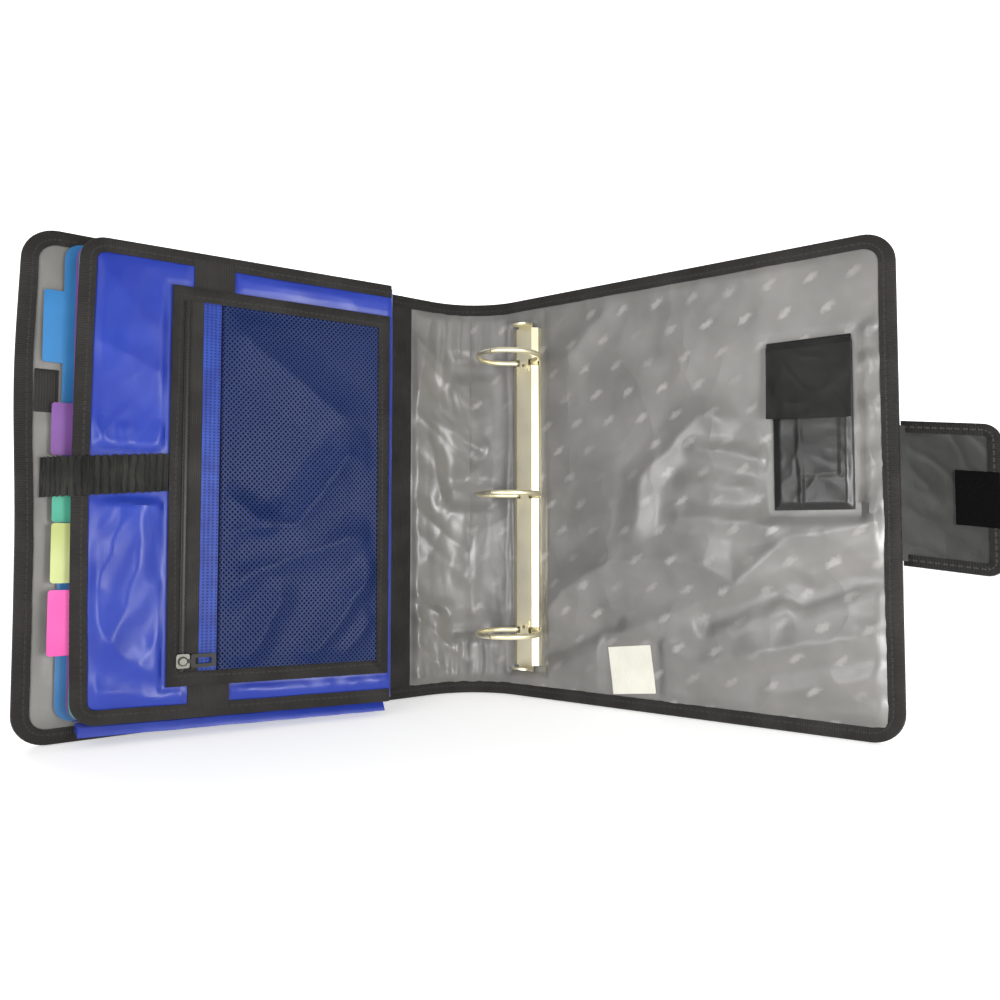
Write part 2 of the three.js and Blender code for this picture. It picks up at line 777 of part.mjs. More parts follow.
function makeNet(stripNear, parent) {
  const near = pouchNear + pouchInset;
  const far = stripNear - gap;
  const shape = rectangle(-far, pouchFoot + pouchInset, -near, pouchTop - pouchInset);
  shape.holes = netHoles(
    -far + netStrand,
    -pouchNear - pouchTapeSide,
    pouchFoot + pouchTapeEnd,
    pouchTop - pouchTapeEnd,
  );
  piece('pouch_net', raise(slab(shape, pouchNetFace, pouchNetFront)), plastic(0x2b3566), parent);
}

function makePouch(parent) {
  const back = raise(slab(pouchOutline(pouchInset, 0), pouchBackFace, pouchBackFace + pouchClothThick));
  const window = rectangle(
    -pouchFar + pouchTapeOuter,
    pouchFoot + pouchTapeEnd,
    -pouchNear - pouchTapeSide,
    pouchTop - pouchTapeEnd,
  );
  const binding = foldedTape(
    pouchOutline(0, pouchRadius),
    pouchOutline(pouchTapeThick, 0),
    window,
    gap,
    pouchFront,
    pouchTapeThick,
  );
  const halfTeeth = zipTeethGap / 2;
  const innerNear = zipLine - halfTeeth - zipTapeWidth;
  const stripNear = innerNear - gap - stripWidth;
  piece('pouch_back', back, blueNylon, parent);
  piece('pouch_tape', raise(binding), blackTape, parent);
  piece(
    'zip_tape_outer',
    pouchSheet(zipLine + halfTeeth, pouchFar - pouchInset, pouchNetFace, pouchNetFront),
    blackTape,
    parent,
  );
  piece('zip_tape_inner', pouchSheet(innerNear, zipLine - halfTeeth, pouchNetFace, pouchNetFront), blackTape, parent);
  piece('pouch_strip', pouchSheet(stripNear, innerNear - gap, pouchNetFace, pouchNetFront), blueNylon, parent);
  makeNet(stripNear, parent);
}

// Zip: teeth across the two tapes, a slider at their lower end and its pull lying to the side
const zipFoot = pouchFoot + pouchTapeEnd + gap;
const zipTop = pouchTop - pouchTapeEnd - gap;
const zipRaise = fileRaise * zipLine;
const teethBack = pouchNetFront + gap;
const teethFront = teethBack + zipTeethThick;
const sliderBack = pouchFront + gap;
const sliderFront = sliderBack + sliderThick;
const sliderFoot = sliderRise + zipRaise;

function makeZip(parent) {
  const half = zipTeethWidth / 2;
  const teeth = raise(slab(rectangle(-zipLine - half, zipFoot, -zipLine + half, zipTop), teethBack, teethFront));
  piece('zip_teeth', teeth, blackCloth, parent);
  const x = -zipLine;
  const body = slab(
    rectangle(x - sliderWidth / 2, sliderFoot, x + sliderWidth / 2, sliderFoot + sliderLength, 1.5),
    sliderBack,
    sliderFront,
  );
  const groove = slab(
    rectangle(x - half - gap, sliderFoot - 5, x + half + gap, sliderFoot + sliderLength + 5),
    0,
    teethFront + gap,
  );
  const middleZ = sliderFoot + sliderLength / 2;
  const pullBack = sliderFront + gap;
  const capBack = pullBack + pullThick + gap;
  const stem = post(x, middleZ, postRadius, sliderFront - 0.2, capBack + 0.1);
  const cap = post(x, middleZ, postRadius + 1, capBack, capBack + 0.6);
  piece('zip_slider', join(cut(body, groove), stem, cap), nickel, parent);
  const eye = post(x, middleZ, postRadius + gap + 1.5, pullBack, pullBack + pullThick);
  const hole = post(x, middleZ, postRadius + gap, 0, 20);
  const neck = slab(rectangle(x, middleZ - 1.2, x + 6, middleZ + 1.2), pullBack, pullBack + pullThick);
  const gripNear = x + 4.6;
  const grip = slab(
    rectangle(gripNear, middleZ - pullWidth / 2, gripNear + pullLength, middleZ + pullWidth / 2, 1.4),
    pullBack,
    pullBack + pullThick,
  );
  const window = slab(
    rectangle(gripNear + 2.6, middleZ - 2, gripNear + pullLength - 2.6, middleZ + 2, 0.8),
    0,
    20,
  );
  piece('zip_pull', cut(join(eye, neck, grip), hole, window), blackCloth, parent);
}

function makeStraps(parent) {
  const far = pouchFar - strapFromOuter;
  const upper = rectangle(-far, pouchTop + gap, -far + strapWidth, panelTop - fileTapeWidth - gap);
  const lower = rectangle(-far, fileFoot + fileTapeWidth + gap, -far + strapWidth, pouchFoot - gap);
  piece('pouch_strap_upper', raise(slab(upper, gap, gap + strapThick)), blackTape, parent);
  piece('pouch_strap_lower', raise(slab(lower, gap, gap + strapThick)), blackTape, parent);
}

// The strap's edges draw in at every gather
function makeElastic(panel, cover) {
  const x0 = pouchFar + gap;
  const x1 = fileWidth - gap;
  const edge = (side) => {
    const points = [];
    const count = elasticGathers * 2;
    for (let k = 0; k <= count; k += 1) {
      const x = x0 + ((x1 - x0) * k) / count;
      const middleZ = elasticMiddle + elasticDroop * (fileWidth - x);
      const drawn = k % 2 ? 0 : 1.1;
      points.push(new THREE.Vector2(-x, middleZ + side * (elasticWidth / 2 - drawn)));
    }
    return points;
  };
  const shape = new THREE.Shape([...edge(-1), ...edge(1).reverse()]);
  piece('elastic_front', raise(slab(shape, elasticLift, elasticLift + elasticThick)), blackCloth, panel);

  // Round the file's edge to the cover's lining, in plan
  const far = coverWidth - tapeWidth - gap;
  const edgeX = fileNear + fileWidth * Math.cos(fileFan);
  const line = new THREE.CatmullRomCurve3([
    [edgeX + 1.2, fileDepthFar + elasticLift + 1.4],
    [edgeX + 6.5, fileDepthFar + 0.2],
    [edgeX + 13.5, fileDepthFar - 8],
    [edgeX + 17.5, fileDepthFar - 16],
    [far - elasticThick / 2 - 0.6, gap],
  ].map(([x, v]) => new THREE.Vector3(-x, -v, 0)));
  const count = 14;
  const offset = (side) => Array.from({ length: count + 1 }, (_, k) => {
    const at = line.getPoint(k / count);
    const way = line.getTangent(k / count);
    const half = (side * elasticThick) / 2;
    return new THREE.Vector2(at.x - way.y * half, Math.min(at.y + way.x * half, -gap));
  });
  const plan = new THREE.Shape([...offset(-1), ...offset(1).reverse()]);
  const low = elasticMiddle + fileRaise * fileWidth - elasticWidth / 2;
  piece('elastic_side', upright(plan, low, low + elasticWidth), blackCloth, cover);
}

// Assembly

const binder = new THREE.Group();
makeSpine(binder);

const back = frameAt(binder, hingeX, hingeY, -backTilt * degree);
makeCover('back', 1, rivets, back);
makeHousing(back);
makeRivets(back);
makeRingSide('inner', -1, back);
makeRingSide('outer', 1, back);
makeLever('upper', 1, back);
makeLever('lower', -1, back);
makePocket(back);
makeLabel(back);
makeClosingTab(back);

const front = frameAt(binder, -hingeX, hingeY, frontTilt * degree);
makeCover('front', -1, [], front);
makeLoopPatch(front);
makeFileBack(front);
makeSideTab(front);
dividers.forEach((divider, k) => makeDivider(divider, k + 1, front));

const panel = frameAt(front, -fileNear, -fileDepthNear, -fileFan);
makeFilePanel(panel);
makePouch(panel);
makeZip(panel);
makeStraps(panel);
makeElastic(panel, front);

export default binder;
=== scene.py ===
"""Looks of an open cloth covered ring binder with an expanding file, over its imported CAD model."""
import math
from functools import partial

import bmesh
import bpy
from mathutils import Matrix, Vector, noise


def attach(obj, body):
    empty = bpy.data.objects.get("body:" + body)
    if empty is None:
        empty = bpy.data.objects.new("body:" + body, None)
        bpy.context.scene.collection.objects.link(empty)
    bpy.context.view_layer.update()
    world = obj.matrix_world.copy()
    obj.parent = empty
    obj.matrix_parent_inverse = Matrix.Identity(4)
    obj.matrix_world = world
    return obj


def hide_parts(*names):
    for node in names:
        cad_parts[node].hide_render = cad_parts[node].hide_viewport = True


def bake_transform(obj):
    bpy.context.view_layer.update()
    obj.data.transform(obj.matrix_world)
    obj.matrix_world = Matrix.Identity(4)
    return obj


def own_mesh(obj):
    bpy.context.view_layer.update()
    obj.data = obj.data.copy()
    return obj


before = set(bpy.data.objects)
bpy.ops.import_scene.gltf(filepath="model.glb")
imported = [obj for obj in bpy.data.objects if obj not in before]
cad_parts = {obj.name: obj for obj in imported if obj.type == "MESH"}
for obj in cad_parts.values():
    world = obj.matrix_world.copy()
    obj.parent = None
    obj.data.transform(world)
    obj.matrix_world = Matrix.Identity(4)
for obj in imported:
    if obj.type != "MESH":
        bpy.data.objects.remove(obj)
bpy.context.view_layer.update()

# Sizes in millimetres, as in the CAD model
HEIGHT = 325
COVER = 288.6
COVER_RADIUS = 20
TAPE = 10
BOARD_BACK = -3.7
BOW_RADIUS = 65
BOW_LENGTH = BOW_RADIUS * math.asin(33 / BOW_RADIUS)
HINGE_X = 33
HINGE_Y = -11.1
BOW_CENTRE = HINGE_Y + 9 - BOW_RADIUS
RING_HEIGHTS = (54.5, 162.5, 270.5)
RING_PLACE = 18.3
RING_RISE = 31.1
RING_RADIUS = 24
SEAM_START = 18.5
FILE_NEAR = 58.4
FILE_WIDTH = 199.6
FILE_FOOT = 10.6
FILE_TOP = 314.6
FILE_RADIUS = 14.5
FILE_TAPE = 9.5
DEPTH_NEAR = 47.4
DEPTH_FAR = 23.7
FILE_RAISE = 0.0172
PRESS = 14
POUCH_NEAR = 2
POUCH_FAR = 148
POUCH_FOOT = 31.5
POUCH_TOP = 290.5
ZIP_LINE = 139.1
POCKET_NEAR, POCKET_FAR, POCKET_FOOT, POCKET_TOP = 212.4, 262.4, 147, 257
FLAP_NEAR, FLAP_FAR, FLAP_FOOT, FLAP_TOP = 208.9, 261.9, 207.6, 257.9
TAB_LENGTH = 53.5
TAB_MIDDLE = 157
TAB_HALF = 45.5
TAB_TAPE = 7.5
TAB_RADIUS = 9.4
TAB_CORE = -2.4
TAB_FOLD = 27.8
ELASTIC_HALF = 12
ELASTIC_MIDDLE = 166
LABEL_OUT, LABEL_UP, LABEL_TURN = 107.4, 30.3, 7
# The cloths end this far inside the edge, 3 mm under the tape
TUCK = 7
# Thickness of a cloth, half that of the elastic, and how high a patch starts above the face
CLOTH = 0.5
HALF_ELASTIC = 0.45
CLEAR = 0.3


class Face:
    """A cover or panel: u runs out from its inner edge, v is the height above its face"""

    def __init__(self, x, y, degrees, side):
        angle = math.radians(degrees)
        self.start = Vector((x, y, 0))
        self.out = Vector((side * math.cos(angle), side * math.sin(angle), 0))
        self.normal = Vector((math.sin(angle), -math.cos(angle), 0))
        self.angle = side * angle

    def at(self, u, v, z):
        return (self.start + self.out * u + self.normal * v + Vector((0, 0, z))) / 1000


BACK = Face(HINGE_X, HINGE_Y, -36.4, 1)
FRONT = Face(-HINGE_X, HINGE_Y, 30.3, -1)
FAN = math.degrees(math.asin((DEPTH_NEAR - DEPTH_FAR) / FILE_WIDTH))
FILE_REACH = FILE_WIDTH * math.cos(math.radians(FAN))
corner = FRONT.at(FILE_NEAR, DEPTH_NEAR, 0) * 1000
PANEL = Face(corner.x, corner.y, 30.3 - FAN, -1)


def ease(low, high, value):
    """0 below low, 1 above high, and smooth between them"""
    share = min(1, max(0, (value - low) / (high - low)))
    return share * share * (3 - 2 * share)


def spread(side, t, v, z):
    """A point t mm from the middle of the spine, along the lining of one side of the binder.
    The front cover's outer edge bows out by 3 mm above half height."""
    cover = BACK if side > 0 else FRONT
    if side < 0:
        t += 3 * ease(BOW_LENGTH + 190, BOW_LENGTH + COVER, t) * math.exp(-(((z - 232) / 72) ** 2))
    if t < BOW_LENGTH:
        angle = t / BOW_RADIUS
        across = side * BOW_RADIUS * math.sin(angle)
        base = Vector((across, BOW_CENTRE + BOW_RADIUS * math.cos(angle), 0))
    else:
        base = cover.start + cover.out * (t - BOW_LENGTH)
    bow = min(t, BOW_LENGTH) / BOW_RADIUS
    turn = ease(BOW_LENGTH - 7, BOW_LENGTH + 7, t)
    lean = bow * (1 - turn) + abs(cover.angle) * turn
    normal = Vector((-side * math.sin(lean), -math.cos(lean), 0))
    return (base + normal * v + Vector((0, 0, z))) / 1000


def on_panel(s, v, z):
    """The panel's outer edge bows out by 4 mm at half height, where the elastic pulls it"""
    bow = (2 + 2.4 * max(0, 1 - ((z - 163) / 158) ** 2)) * ease(120, FILE_WIDTH, s)
    return PANEL.at(s + bow, v, z + FILE_RAISE * s)


def on_tab(x, v, z):
    """The closing tab hangs a little lower as it goes out"""
    return BACK.at(COVER + x, v, z - 0.12 * x)


# Folds of cloth

def wander(a, b, size, seed=0):
    """Smooth noise from -1 to 1 with features of about size mm. The seed picks its pattern."""
    return noise.noise(Vector((a / size + 17.3 * seed, b / size - 9.1 * seed, 3.7 * seed)))


def crease(a, b, size, seed=0, sharp=3):
    """Narrow ridges, 0 to 1, where smooth noise crosses zero"""
    return max(0, 1 - sharp * abs(wander(a, b, size, seed))) ** 1.4


def fold(a, b, half, height, *path):
    """A fold of the given half width and height along a path; below zero it is a valley"""
    near = 1e9
    for (a0, b0), (a1, b1) in zip(path, path[1:]):
        da, db = a1 - a0, b1 - b0
        share = min(1, max(0, ((a - a0) * da + (b - b0) * db) / (da * da + db * db)))
        near = min(near, math.hypot(a - a0 - da * share, b - b0 - db * share))
    return height * max(0, 1 - near / (1.45 * half)) ** 1.4


def folds_at(a, b, folds):
    """All the folds of one cloth, drifting a little off their straight lines"""
    a += 2.2 * wander(a, b, 14, 15)
    b += 2.2 * wander(a, b, 14, 16)
    return sum(fold(a, b, *one) for one in folds)


# Folds that handling has left in each cloth: half width, height and path, all in millimetres
BACK_FOLDS = (
    (13, 1.8, (56, 273), (85, 300)), (12, 2.6, (113, 138), (118, 174), (160, 215), (174, 214)),
    (8, 2.6, (159, 193), (210, 181)), (9, 1.9, (154, 168), (190, 163)),
    (10, 2.6, (146, 144), (208, 136)),
    (17, 2.8, (40, 72), (51, 86), (91, 112), (165, 111), (185, 97), (222, 129), (277, 139)),
    (9, -3.2, (166, 71), (210, 92), (226, 95)), (9, -3.2, (230, 88), (276, 105)),
    (9, -3.0, (24, 30), (94, 65)), (16, 1.6, (120, 60), (160, 40), (190, 48)),
    (12, 2.0, (200, 52), (262, 66)), (10, 1.6, (210, 24), (270, 40)), (5, 1.5, (264, 262), (279, 267)),
    (5, 1.6, (264, 247), (276, 240)), (5, 1.6, (265, 219), (278, 207)),
    (5, 1.2, (264, 185), (277, 178)), (6, 1.6, (265, 155), (278, 141)),
)
SPINE_FOLDS = (
    (9, 3.2, (-35, 312), (-49, 243)), (6, 1.8, (-24, 314), (-23, 262)),
    (7, 3.0, (-12, 314), (-11, 246), (6, 203)), (5, 1.5, (9, 314), (8, 262)),
    (8, 3.4, (-36, 226), (8, 203)), (8, 2.8, (-39, 214), (-24, 160)), (14, 3.4, (3, 184), (-39, 112)),
    (9, 2.2, (8, 150), (-6, 96)), (6, -3.0, (-48, 76), (-20, 70)), (5, 2.4, (-46, 62), (-46, 9)),
    (3.5, 1.6, (-38, 48), (-37, 9)), (5, 2.6, (-29, 66), (-29, 9)), (3.5, 1.5, (-20, 40), (-20, 9)),
    (4.5, 2.2, (-12, 60), (-12, 9)), (5, 2.2, (3, 62), (2, 9)), (4, 1.6, (14, 52), (14, 9)),
)
PANEL_FOLDS = (
    (9, 3.0, (172, 148), (184, 96)), (12, 3.6, (160, 146), (166, 100), (176, 62)),
    (6, -1.6, (154, 140), (153, 104)), (12, 2.8, (188, 80), (172, 52), (158, 44)),
    (8, 2.2, (186, 33), (152, 24)), (18, 1.8, (197, 254), (156, 233)),
    (12, 1.4, (188, 300), (160, 262)), (6, 2.2, (188, 196), (176, 179)),
    (5, 1.5, (172, 194), (168, 179)), (6, 1.8, (159, 182), (152, 194)), (7, 1.2, (30, 301), (130, 303)),
    (6, 1.2, (20, 19), (90, 22)),
)
NET_FOLDS = (
    (15, 3.0, (117, 130), (68, 138), (32, 187)), (15, 2.8, (114, 95), (73, 114), (31, 127)),
    (11, 2.6, (100, 47), (78, 87)), (12, 2.8, (56, 48), (14, 104)), (9, 2.0, (111, 152), (91, 139)),
    (18, 2.0, (104, 262), (40, 214)), (8, 1.8, (36, 46), (16, 70)),
)


# Mesh makers

def steps(low, high, size):
    count = max(1, round(abs(high - low) / size))
    return [low + (high - low) * k / count for k in range(count + 1)]


def show(name, mesh, material):
    mesh.materials.append(material)
    piece = bpy.data.objects.new(name, mesh)
    bpy.context.scene.collection.objects.link(piece)
    return piece


def settle(piece, slot, body, *nodes):
    """Hides the CAD nodes that a piece stands for and hangs it on the body that it rides on. The slot,
    the name of its finish, is not used.
    """
    if nodes:
        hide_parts(*nodes)
    if body:
        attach(piece, body)
    return piece


def make_mesh(name, points, faces, uvs, material, *slot_body_nodes, sharp=38):
    """A piece with one UV in millimetres for each vertex. Every maker ends in this one, and hands on
    its material, slot, body and CAD nodes."""
    mesh = bpy.data.meshes.new(name)
    mesh.from_pydata(points, [], faces)
    layer = mesh.uv_layers.new(name="millimetres")
    for loop in mesh.loops:
        layer.data[loop.index].uv = uvs[loop.vertex_index]
    shell = bmesh.new()
    shell.from_mesh(mesh)
    bmesh.ops.recalc_face_normals(shell, faces=shell.faces)
    shell.to_mesh(mesh)
    shell.free()
    mesh.shade_smooth()
    mesh.set_sharp_from_angle(angle=math.radians(sharp))
    return settle(show(name, mesh, material), *slot_body_nodes)


def make_sheet(name, columns, rows, face, back, *finish):
    """A thin closed piece between two surfaces, face(a, b) and back(a, b)"""
    wide, high = len(columns), len(rows)
    grid = [(a, b) for b in rows for a in columns]
    points = [face(a, b) for a, b in grid] + [back(a, b) for a, b in grid]
    layer = wide * high
    faces = []
    for j in range(high - 1):
        for i in range(wide - 1):
            k = j * wide + i
            faces.append((k, k + 1, k + wide + 1, k + wide))
            faces.append((layer + k, layer + k + wide, layer + k + wide + 1, layer + k + 1))
    rim = list(range(wide - 1)) + [j * wide + wide - 1 for j in range(high - 1)]
    rim += [(high - 1) * wide + i for i in range(wide - 1, 0, -1)]
    rim += [j * wide for j in range(high - 1, 0, -1)]
    for k, start in enumerate(rim):
        end = rim[(k + 1) % len(rim)]
        faces.append((start, end, layer + end, layer + start))
    return make_mesh(name, points, faces, grid * 2, *finish)


def lay_sheet(name, place, columns, rows, rise, under, *finish):
    """A sheet on a cover or panel from the height under, a number or a function, up to rise(a, b)"""
    low = under if callable(under) else lambda a, b: under
    face, back = (lambda a, b: place(a, rise(a, b), b)), (lambda a, b: place(a, low(a, b), b))
    return make_sheet(name, columns, rows, face, back, *finish)


def make_band(name, outer, inner, profile, place, *finish, closed=False):
    """Tape folded round an edge: profile holds (share of the way from outer to inner, height)"""
    count, ring = len(outer), len(profile)
    points, uvs, faces = [], [], []
    along = 0
    for k in range(count):
        if k:
            along += (Vector(outer[k]) - Vector(outer[k - 1])).length
        across = 0
        width = (Vector(inner[k]) - Vector(outer[k])).length
        for m, (share, v) in enumerate(profile):
            a = outer[k][0] + (inner[k][0] - outer[k][0]) * share
            z = outer[k][1] + (inner[k][1] - outer[k][1]) * share
            if m:
                across += math.hypot((share - profile[m - 1][0]) * width, v - profile[m - 1][1])
            points.append(place(a, v, z))
            uvs.append((along, across))
    for k in range(count if closed else count - 1):
        here, there = k * ring, (k + 1) % count * ring
        for m in range(ring):
            n = (m + 1) % ring
            faces.append((here + m, here + n, there + n, there + m))
    if not closed:
        faces.append(tuple(range(ring)))
        faces.append(tuple((count - 1) * ring + m for m in reversed(range(ring))))
    return make_mesh(name, points, faces, uvs, *finish)


def edge_path(x0, x1, z0, z1, radius, inset, size=4):
    """Along the top edge, round two corners and back along the foot, drawn in by inset"""
    tight = max(0.01, radius - inset)
    turns = steps(0, math.pi / 2, math.pi / 20)[1:]
    x, top, foot = x1 - radius, z1 - radius, z0 + radius
    path = [(a, z1 - inset) for a in steps(x0, x, size)]
    path += [(x + tight * math.sin(turn), top + tight * math.cos(turn)) for turn in turns]
    path += [(x1 - inset, z) for z in steps(top, foot, size)[1:]]
    path += [(x + tight * math.cos(turn), foot - tight * math.sin(turn)) for turn in turns]
    path += [(a, z0 + inset) for a in steps(x, x0, size)[1:]]
    return path


def fold_profile(width, front, back, thick, crown=0.25):
    """The section of a folded tape between its two outer heights"""
    mid = (front + back) / 2
    half = (front - back) / 2
    outer = [(width, front), (0.55 * width, front + crown), (0.2 * width, front + 0.6 * crown)]
    for turn in (60, 30, 0, -30, -60):
        angle = math.radians(turn)
        outer.append((0.1 * width * (1 - math.cos(angle)) * 1.4, mid + half * math.sin(angle) * 1.04))
    outer += [(0.2 * width, back - 0.6 * crown), (0.55 * width, back - crown), (width, back)]
    inner = [(width, back + thick), (thick + 0.6, back + thick), (thick, mid)]
    inner += [(thick + 0.6, front - thick), (width, front - thick)]
    return [(x / width, v) for x, v in outer + inner]


# Materials

def linear(code):
    """An sRGB hex colour as the linear colour that a shader takes"""
    parts = [int(code[k:k + 2], 16) / 255 for k in (0, 2, 4)]
    return [p / 12.92 if p <= 0.04045 else ((p + 0.055) / 1.055) ** 2.4 for p in parts] + [1]


class Finish:
    """A material with one surface shader, whose sockets keep the values that are the same all over"""

    def __init__(self, name, settings):
        self.material = bpy.data.materials.new(name)
        self.material.use_nodes = True
        self.tree = self.material.node_tree
        self.tree.nodes.clear()
        self.surface = self.add("BsdfPrincipled", settings)
        self.add("OutputMaterial", {}, {"Surface": self.surface.outputs[0]})

    def add(self, kind, settings=(), links=()):
        """Adds a shader node, sets its values and joins its inputs to other nodes' outputs"""
        node = self.tree.nodes.new("ShaderNode" + kind)
        for key, value in dict(settings).items():
            if key in node.inputs:
                node.inputs[key].default_value = value
            else:
                setattr(node, key, value)
        for key, socket in dict(links).items():
            self.tree.links.new(socket, node.inputs[key])
        return node

    def millimetres(self):
        return self.add("UVMap").outputs[0]

    def place(self):
        return self.add("TexCoord").outputs["Object"]

    def noise(self, at, scale, detail=2, output="Fac"):
        return self.add("TexNoise", {"Scale": scale, "Detail": detail}, {"Vector": at}).outputs[output]

    def maths(self, operation, *values):
        node = self.add("Math", {"operation": operation})
        for socket, value in zip(node.inputs, values):
            if isinstance(value, (int, float)):
                socket.default_value = value
            else:
                self.tree.links.new(value, socket)
        return node.outputs[0]

    def drift(self, at, push, reach):
        """The place at, pushed by a noise colour by up to reach"""
        shift = self.add("VectorMath", {"operation": "SCALE", "Scale": reach}, {0: push})
        return self.add("VectorMath", {"operation": "ADD"}, {0: at, 1: shift.outputs[0]}).outputs[0]

    def remap(self, value, to_low, to_high, low=0.0, high=1.0):
        settings = {"From Min": low, "From Max": high, "To Min": to_low, "To Max": to_high}
        return self.add("MapRange", settings, {"Value": value}).outputs[0]

    def dye(self, cloud, dark, light, low=0.35, high=0.65):
        """A colour between two dyes"""
        node = self.add("ValToRGB", {}, {"Fac": cloud})
        for stop, position, code in zip(node.color_ramp.elements, (low, high), (dark, light)):
            stop.position = position
            stop.color = linear(code)
        return node.outputs["Color"]

    def over(self, share, colour, code):
        """A colour with another laid over it by a share"""
        mix = self.add("Mix", {"data_type": "RGBA"}, {0: share, 6: colour})
        mix.inputs[7].default_value = linear(code)
        return mix.outputs[2]

    def bump(self, height, strength, depth, under=None, invert=False):
        """A relief of the given depth in millimetres, on top of another relief"""
        settings = {"Strength": strength, "Distance": depth / 1000, "invert": invert}
        links = {"Height": height, "Normal": under} if under else {"Height": height}
        return self.add("Bump", settings, links).outputs[0]

    def done(self, links):
        for key, socket in links.items():
            self.tree.links.new(socket, self.surface.inputs[key])
        return self.material


def crinkle(finish, at, size, seed):
    """Height of sharp creases between soft facets, size mm apart, as thin coated cloth takes them"""
    bend = finish.add("TexNoise", {"Scale": 0.6 / size, "Detail": 2, "Roughness": 0.5}, {"Vector": at})
    moved = finish.drift(at, bend.outputs["Color"], size * 1.6)
    turn = {"Location": (seed * 37, seed * 11, 0), "Rotation": (0, 0, 0.5 + seed), "Scale": (1, 0.45, 1)}
    turned = finish.add("Mapping", turn, {"Vector": moved})
    cells = finish.add("TexVoronoi", {"feature": "F1", "Scale": 1 / size}, {"Vector": turned.outputs[0]})
    return cells.outputs["Distance"]


def threads(finish, at, pitch, way, **settings):
    """Waves of parallel threads or ribs, pitch mm apart"""
    wave = {"wave_type": "BANDS", "bands_direction": way, "Scale": 0.314 / pitch, **settings}
    return finish.add("TexWave", wave, {"Vector": at}).outputs["Fac"]


def lozenge_print(finish, at):
    """Pale leaning ovals in staggered rows, 27 mm apart and 21 mm high, worn thin in places"""
    wide, high = 27, 21
    moved = finish.drift(at, finish.noise(at, 0.28, 2, "Color"), 5.0)
    split = finish.add("SeparateXYZ", {}, {0: moved}).outputs
    row = finish.maths("DIVIDE", split["Y"], high)
    slide = finish.maths("MULTIPLY", finish.maths("FLOOR", row), 0.38)
    column = finish.maths("MULTIPLY_ADD", split["X"], 1 / wide, slide)
    x = finish.maths("MULTIPLY_ADD", finish.maths("FRACT", column), wide, -wide / 2)
    y = finish.maths("MULTIPLY_ADD", finish.maths("FRACT", row), high, -high / 2)
    lean = finish.maths("MULTIPLY_ADD", x, -0.55, y)
    oval = {"X": finish.maths("DIVIDE", x, 5.0), "Y": finish.maths("DIVIDE", lean, 3.2)}
    flat = finish.add("CombineXYZ", {}, oval).outputs[0]
    size = finish.add("VectorMath", {"operation": "LENGTH"}, {0: flat}).outputs["Value"]
    shape = finish.remap(size, 0.0, 1.0, 1.15, 0.45)
    worn = finish.remap(finish.noise(at, 0.02, 1), 0.05, 0.4, 0.36, 0.64)
    return finish.maths("MULTIPLY", shape, worn)


def coated_taffeta(name, dark, light, size=15, gloss=0.3, depth=1.7, shine=0.5, printed=False):
    """Polyester taffeta with a thin coating: satin sheen over sharp crinkles. Threads of 0.3 mm are
    drawn at 1.5 mm, the finest that the render shows."""
    sheen = {"Sheen Weight": 0.04, "Sheen Roughness": 0.4}
    finish = Finish(name, {"IOR": 1.5, "Specular IOR Level": shine, **sheen})
    at = finish.millimetres()
    colour = finish.dye(finish.noise(at, 1 / 45, 3), dark, light)
    if printed:
        colour = finish.over(lozenge_print(finish, at), colour, "B2B0AC")
    rough = finish.remap(finish.noise(at, 0.05, 4), gloss - 0.06, gloss + 0.14)
    weave = [threads(finish, at, 1.5, way, Distortion=0.4) for way in ("X", "Y")]
    wide = finish.bump(crinkle(finish, at, size * 2.4, 1), 0.8, depth)
    narrow = finish.bump(crinkle(finish, at, size, 2), 0.4, depth * 0.4, wide)
    thread = finish.bump(finish.maths("MULTIPLY", *weave), 0.12, 0.12, narrow)
    return finish.done({"Base Color": colour, "Roughness": rough, "Normal": thread})


def stitched_seam(finish, at):
    """A line of stitches 3.4 mm in from the tape's edge: the sunk line, and the thread along it"""
    split = finish.add("SeparateXYZ", {}, {0: at}).outputs
    near = finish.maths("ABSOLUTE", finish.maths("SUBTRACT", split["Y"], 3.4))
    line = finish.remap(near, 0.0, 1.0, 0.75, 0.3)
    pace = finish.maths("FRACT", finish.maths("DIVIDE", split["X"], 4.0))
    return line, finish.maths("MULTIPLY", line, finish.maths("GREATER_THAN", pace, 0.3))


def woven_tape(name, dark, light, rib=1.5, rough=0.72, seam=True):
    """Polyester grosgrain: matt cross ribs, with a sunk line of stitches. Ribs of 0.7 mm are drawn at
    1.5 mm so that they show."""
    sheen = {"Sheen Weight": 0.03, "Sheen Roughness": 0.5}
    finish = Finish(name, {"IOR": 1.5, "Roughness": rough, "Specular IOR Level": 0.22, **sheen})
    at = finish.millimetres()
    colour = finish.dye(finish.noise(at, 1 / 30, 3), dark, light)
    relief = finish.bump(threads(finish, at, rib, "X", Distortion=0.8, Detail=1), 0.7, 0.25)
    if seam:
        line, thread = stitched_seam(finish, at)
        colour = finish.over(thread, colour, "302E2B")
        relief = finish.bump(line, 0.5, 0.3, relief, invert=True)
    pucker = finish.bump(finish.noise(at, 0.12, 3), 0.5, 0.9, relief)
    return finish.done({"Base Color": colour, "Normal": pucker})


def plated_steel(name, code, rough):
    """Nickel plated pressed steel: bright and slightly warm, with fine drawing marks"""
    finish = Finish(name, {"Metallic": 1, "Base Color": linear(code)})
    at = finish.place()
    dull = finish.remap(finish.noise(at, 60), rough - 0.06, rough + 0.1)
    return finish.done({"Roughness": dull, "Normal": finish.bump(finish.noise(at, 900, 3), 0.1, 0.1)})


def extruded_sheet(name, dark, light):
    """Translucent polypropylene sheet: soft gloss with a faint grained face"""
    finish = Finish(name, {"IOR": 1.49, "Roughness": 0.32, "Transmission Weight": 0.12})
    at = finish.place()
    colour = finish.dye(finish.noise(at, 18), dark, light)
    return finish.done({"Base Color": colour, "Normal": finish.bump(finish.noise(at, 700), 0.12, 0.1)})


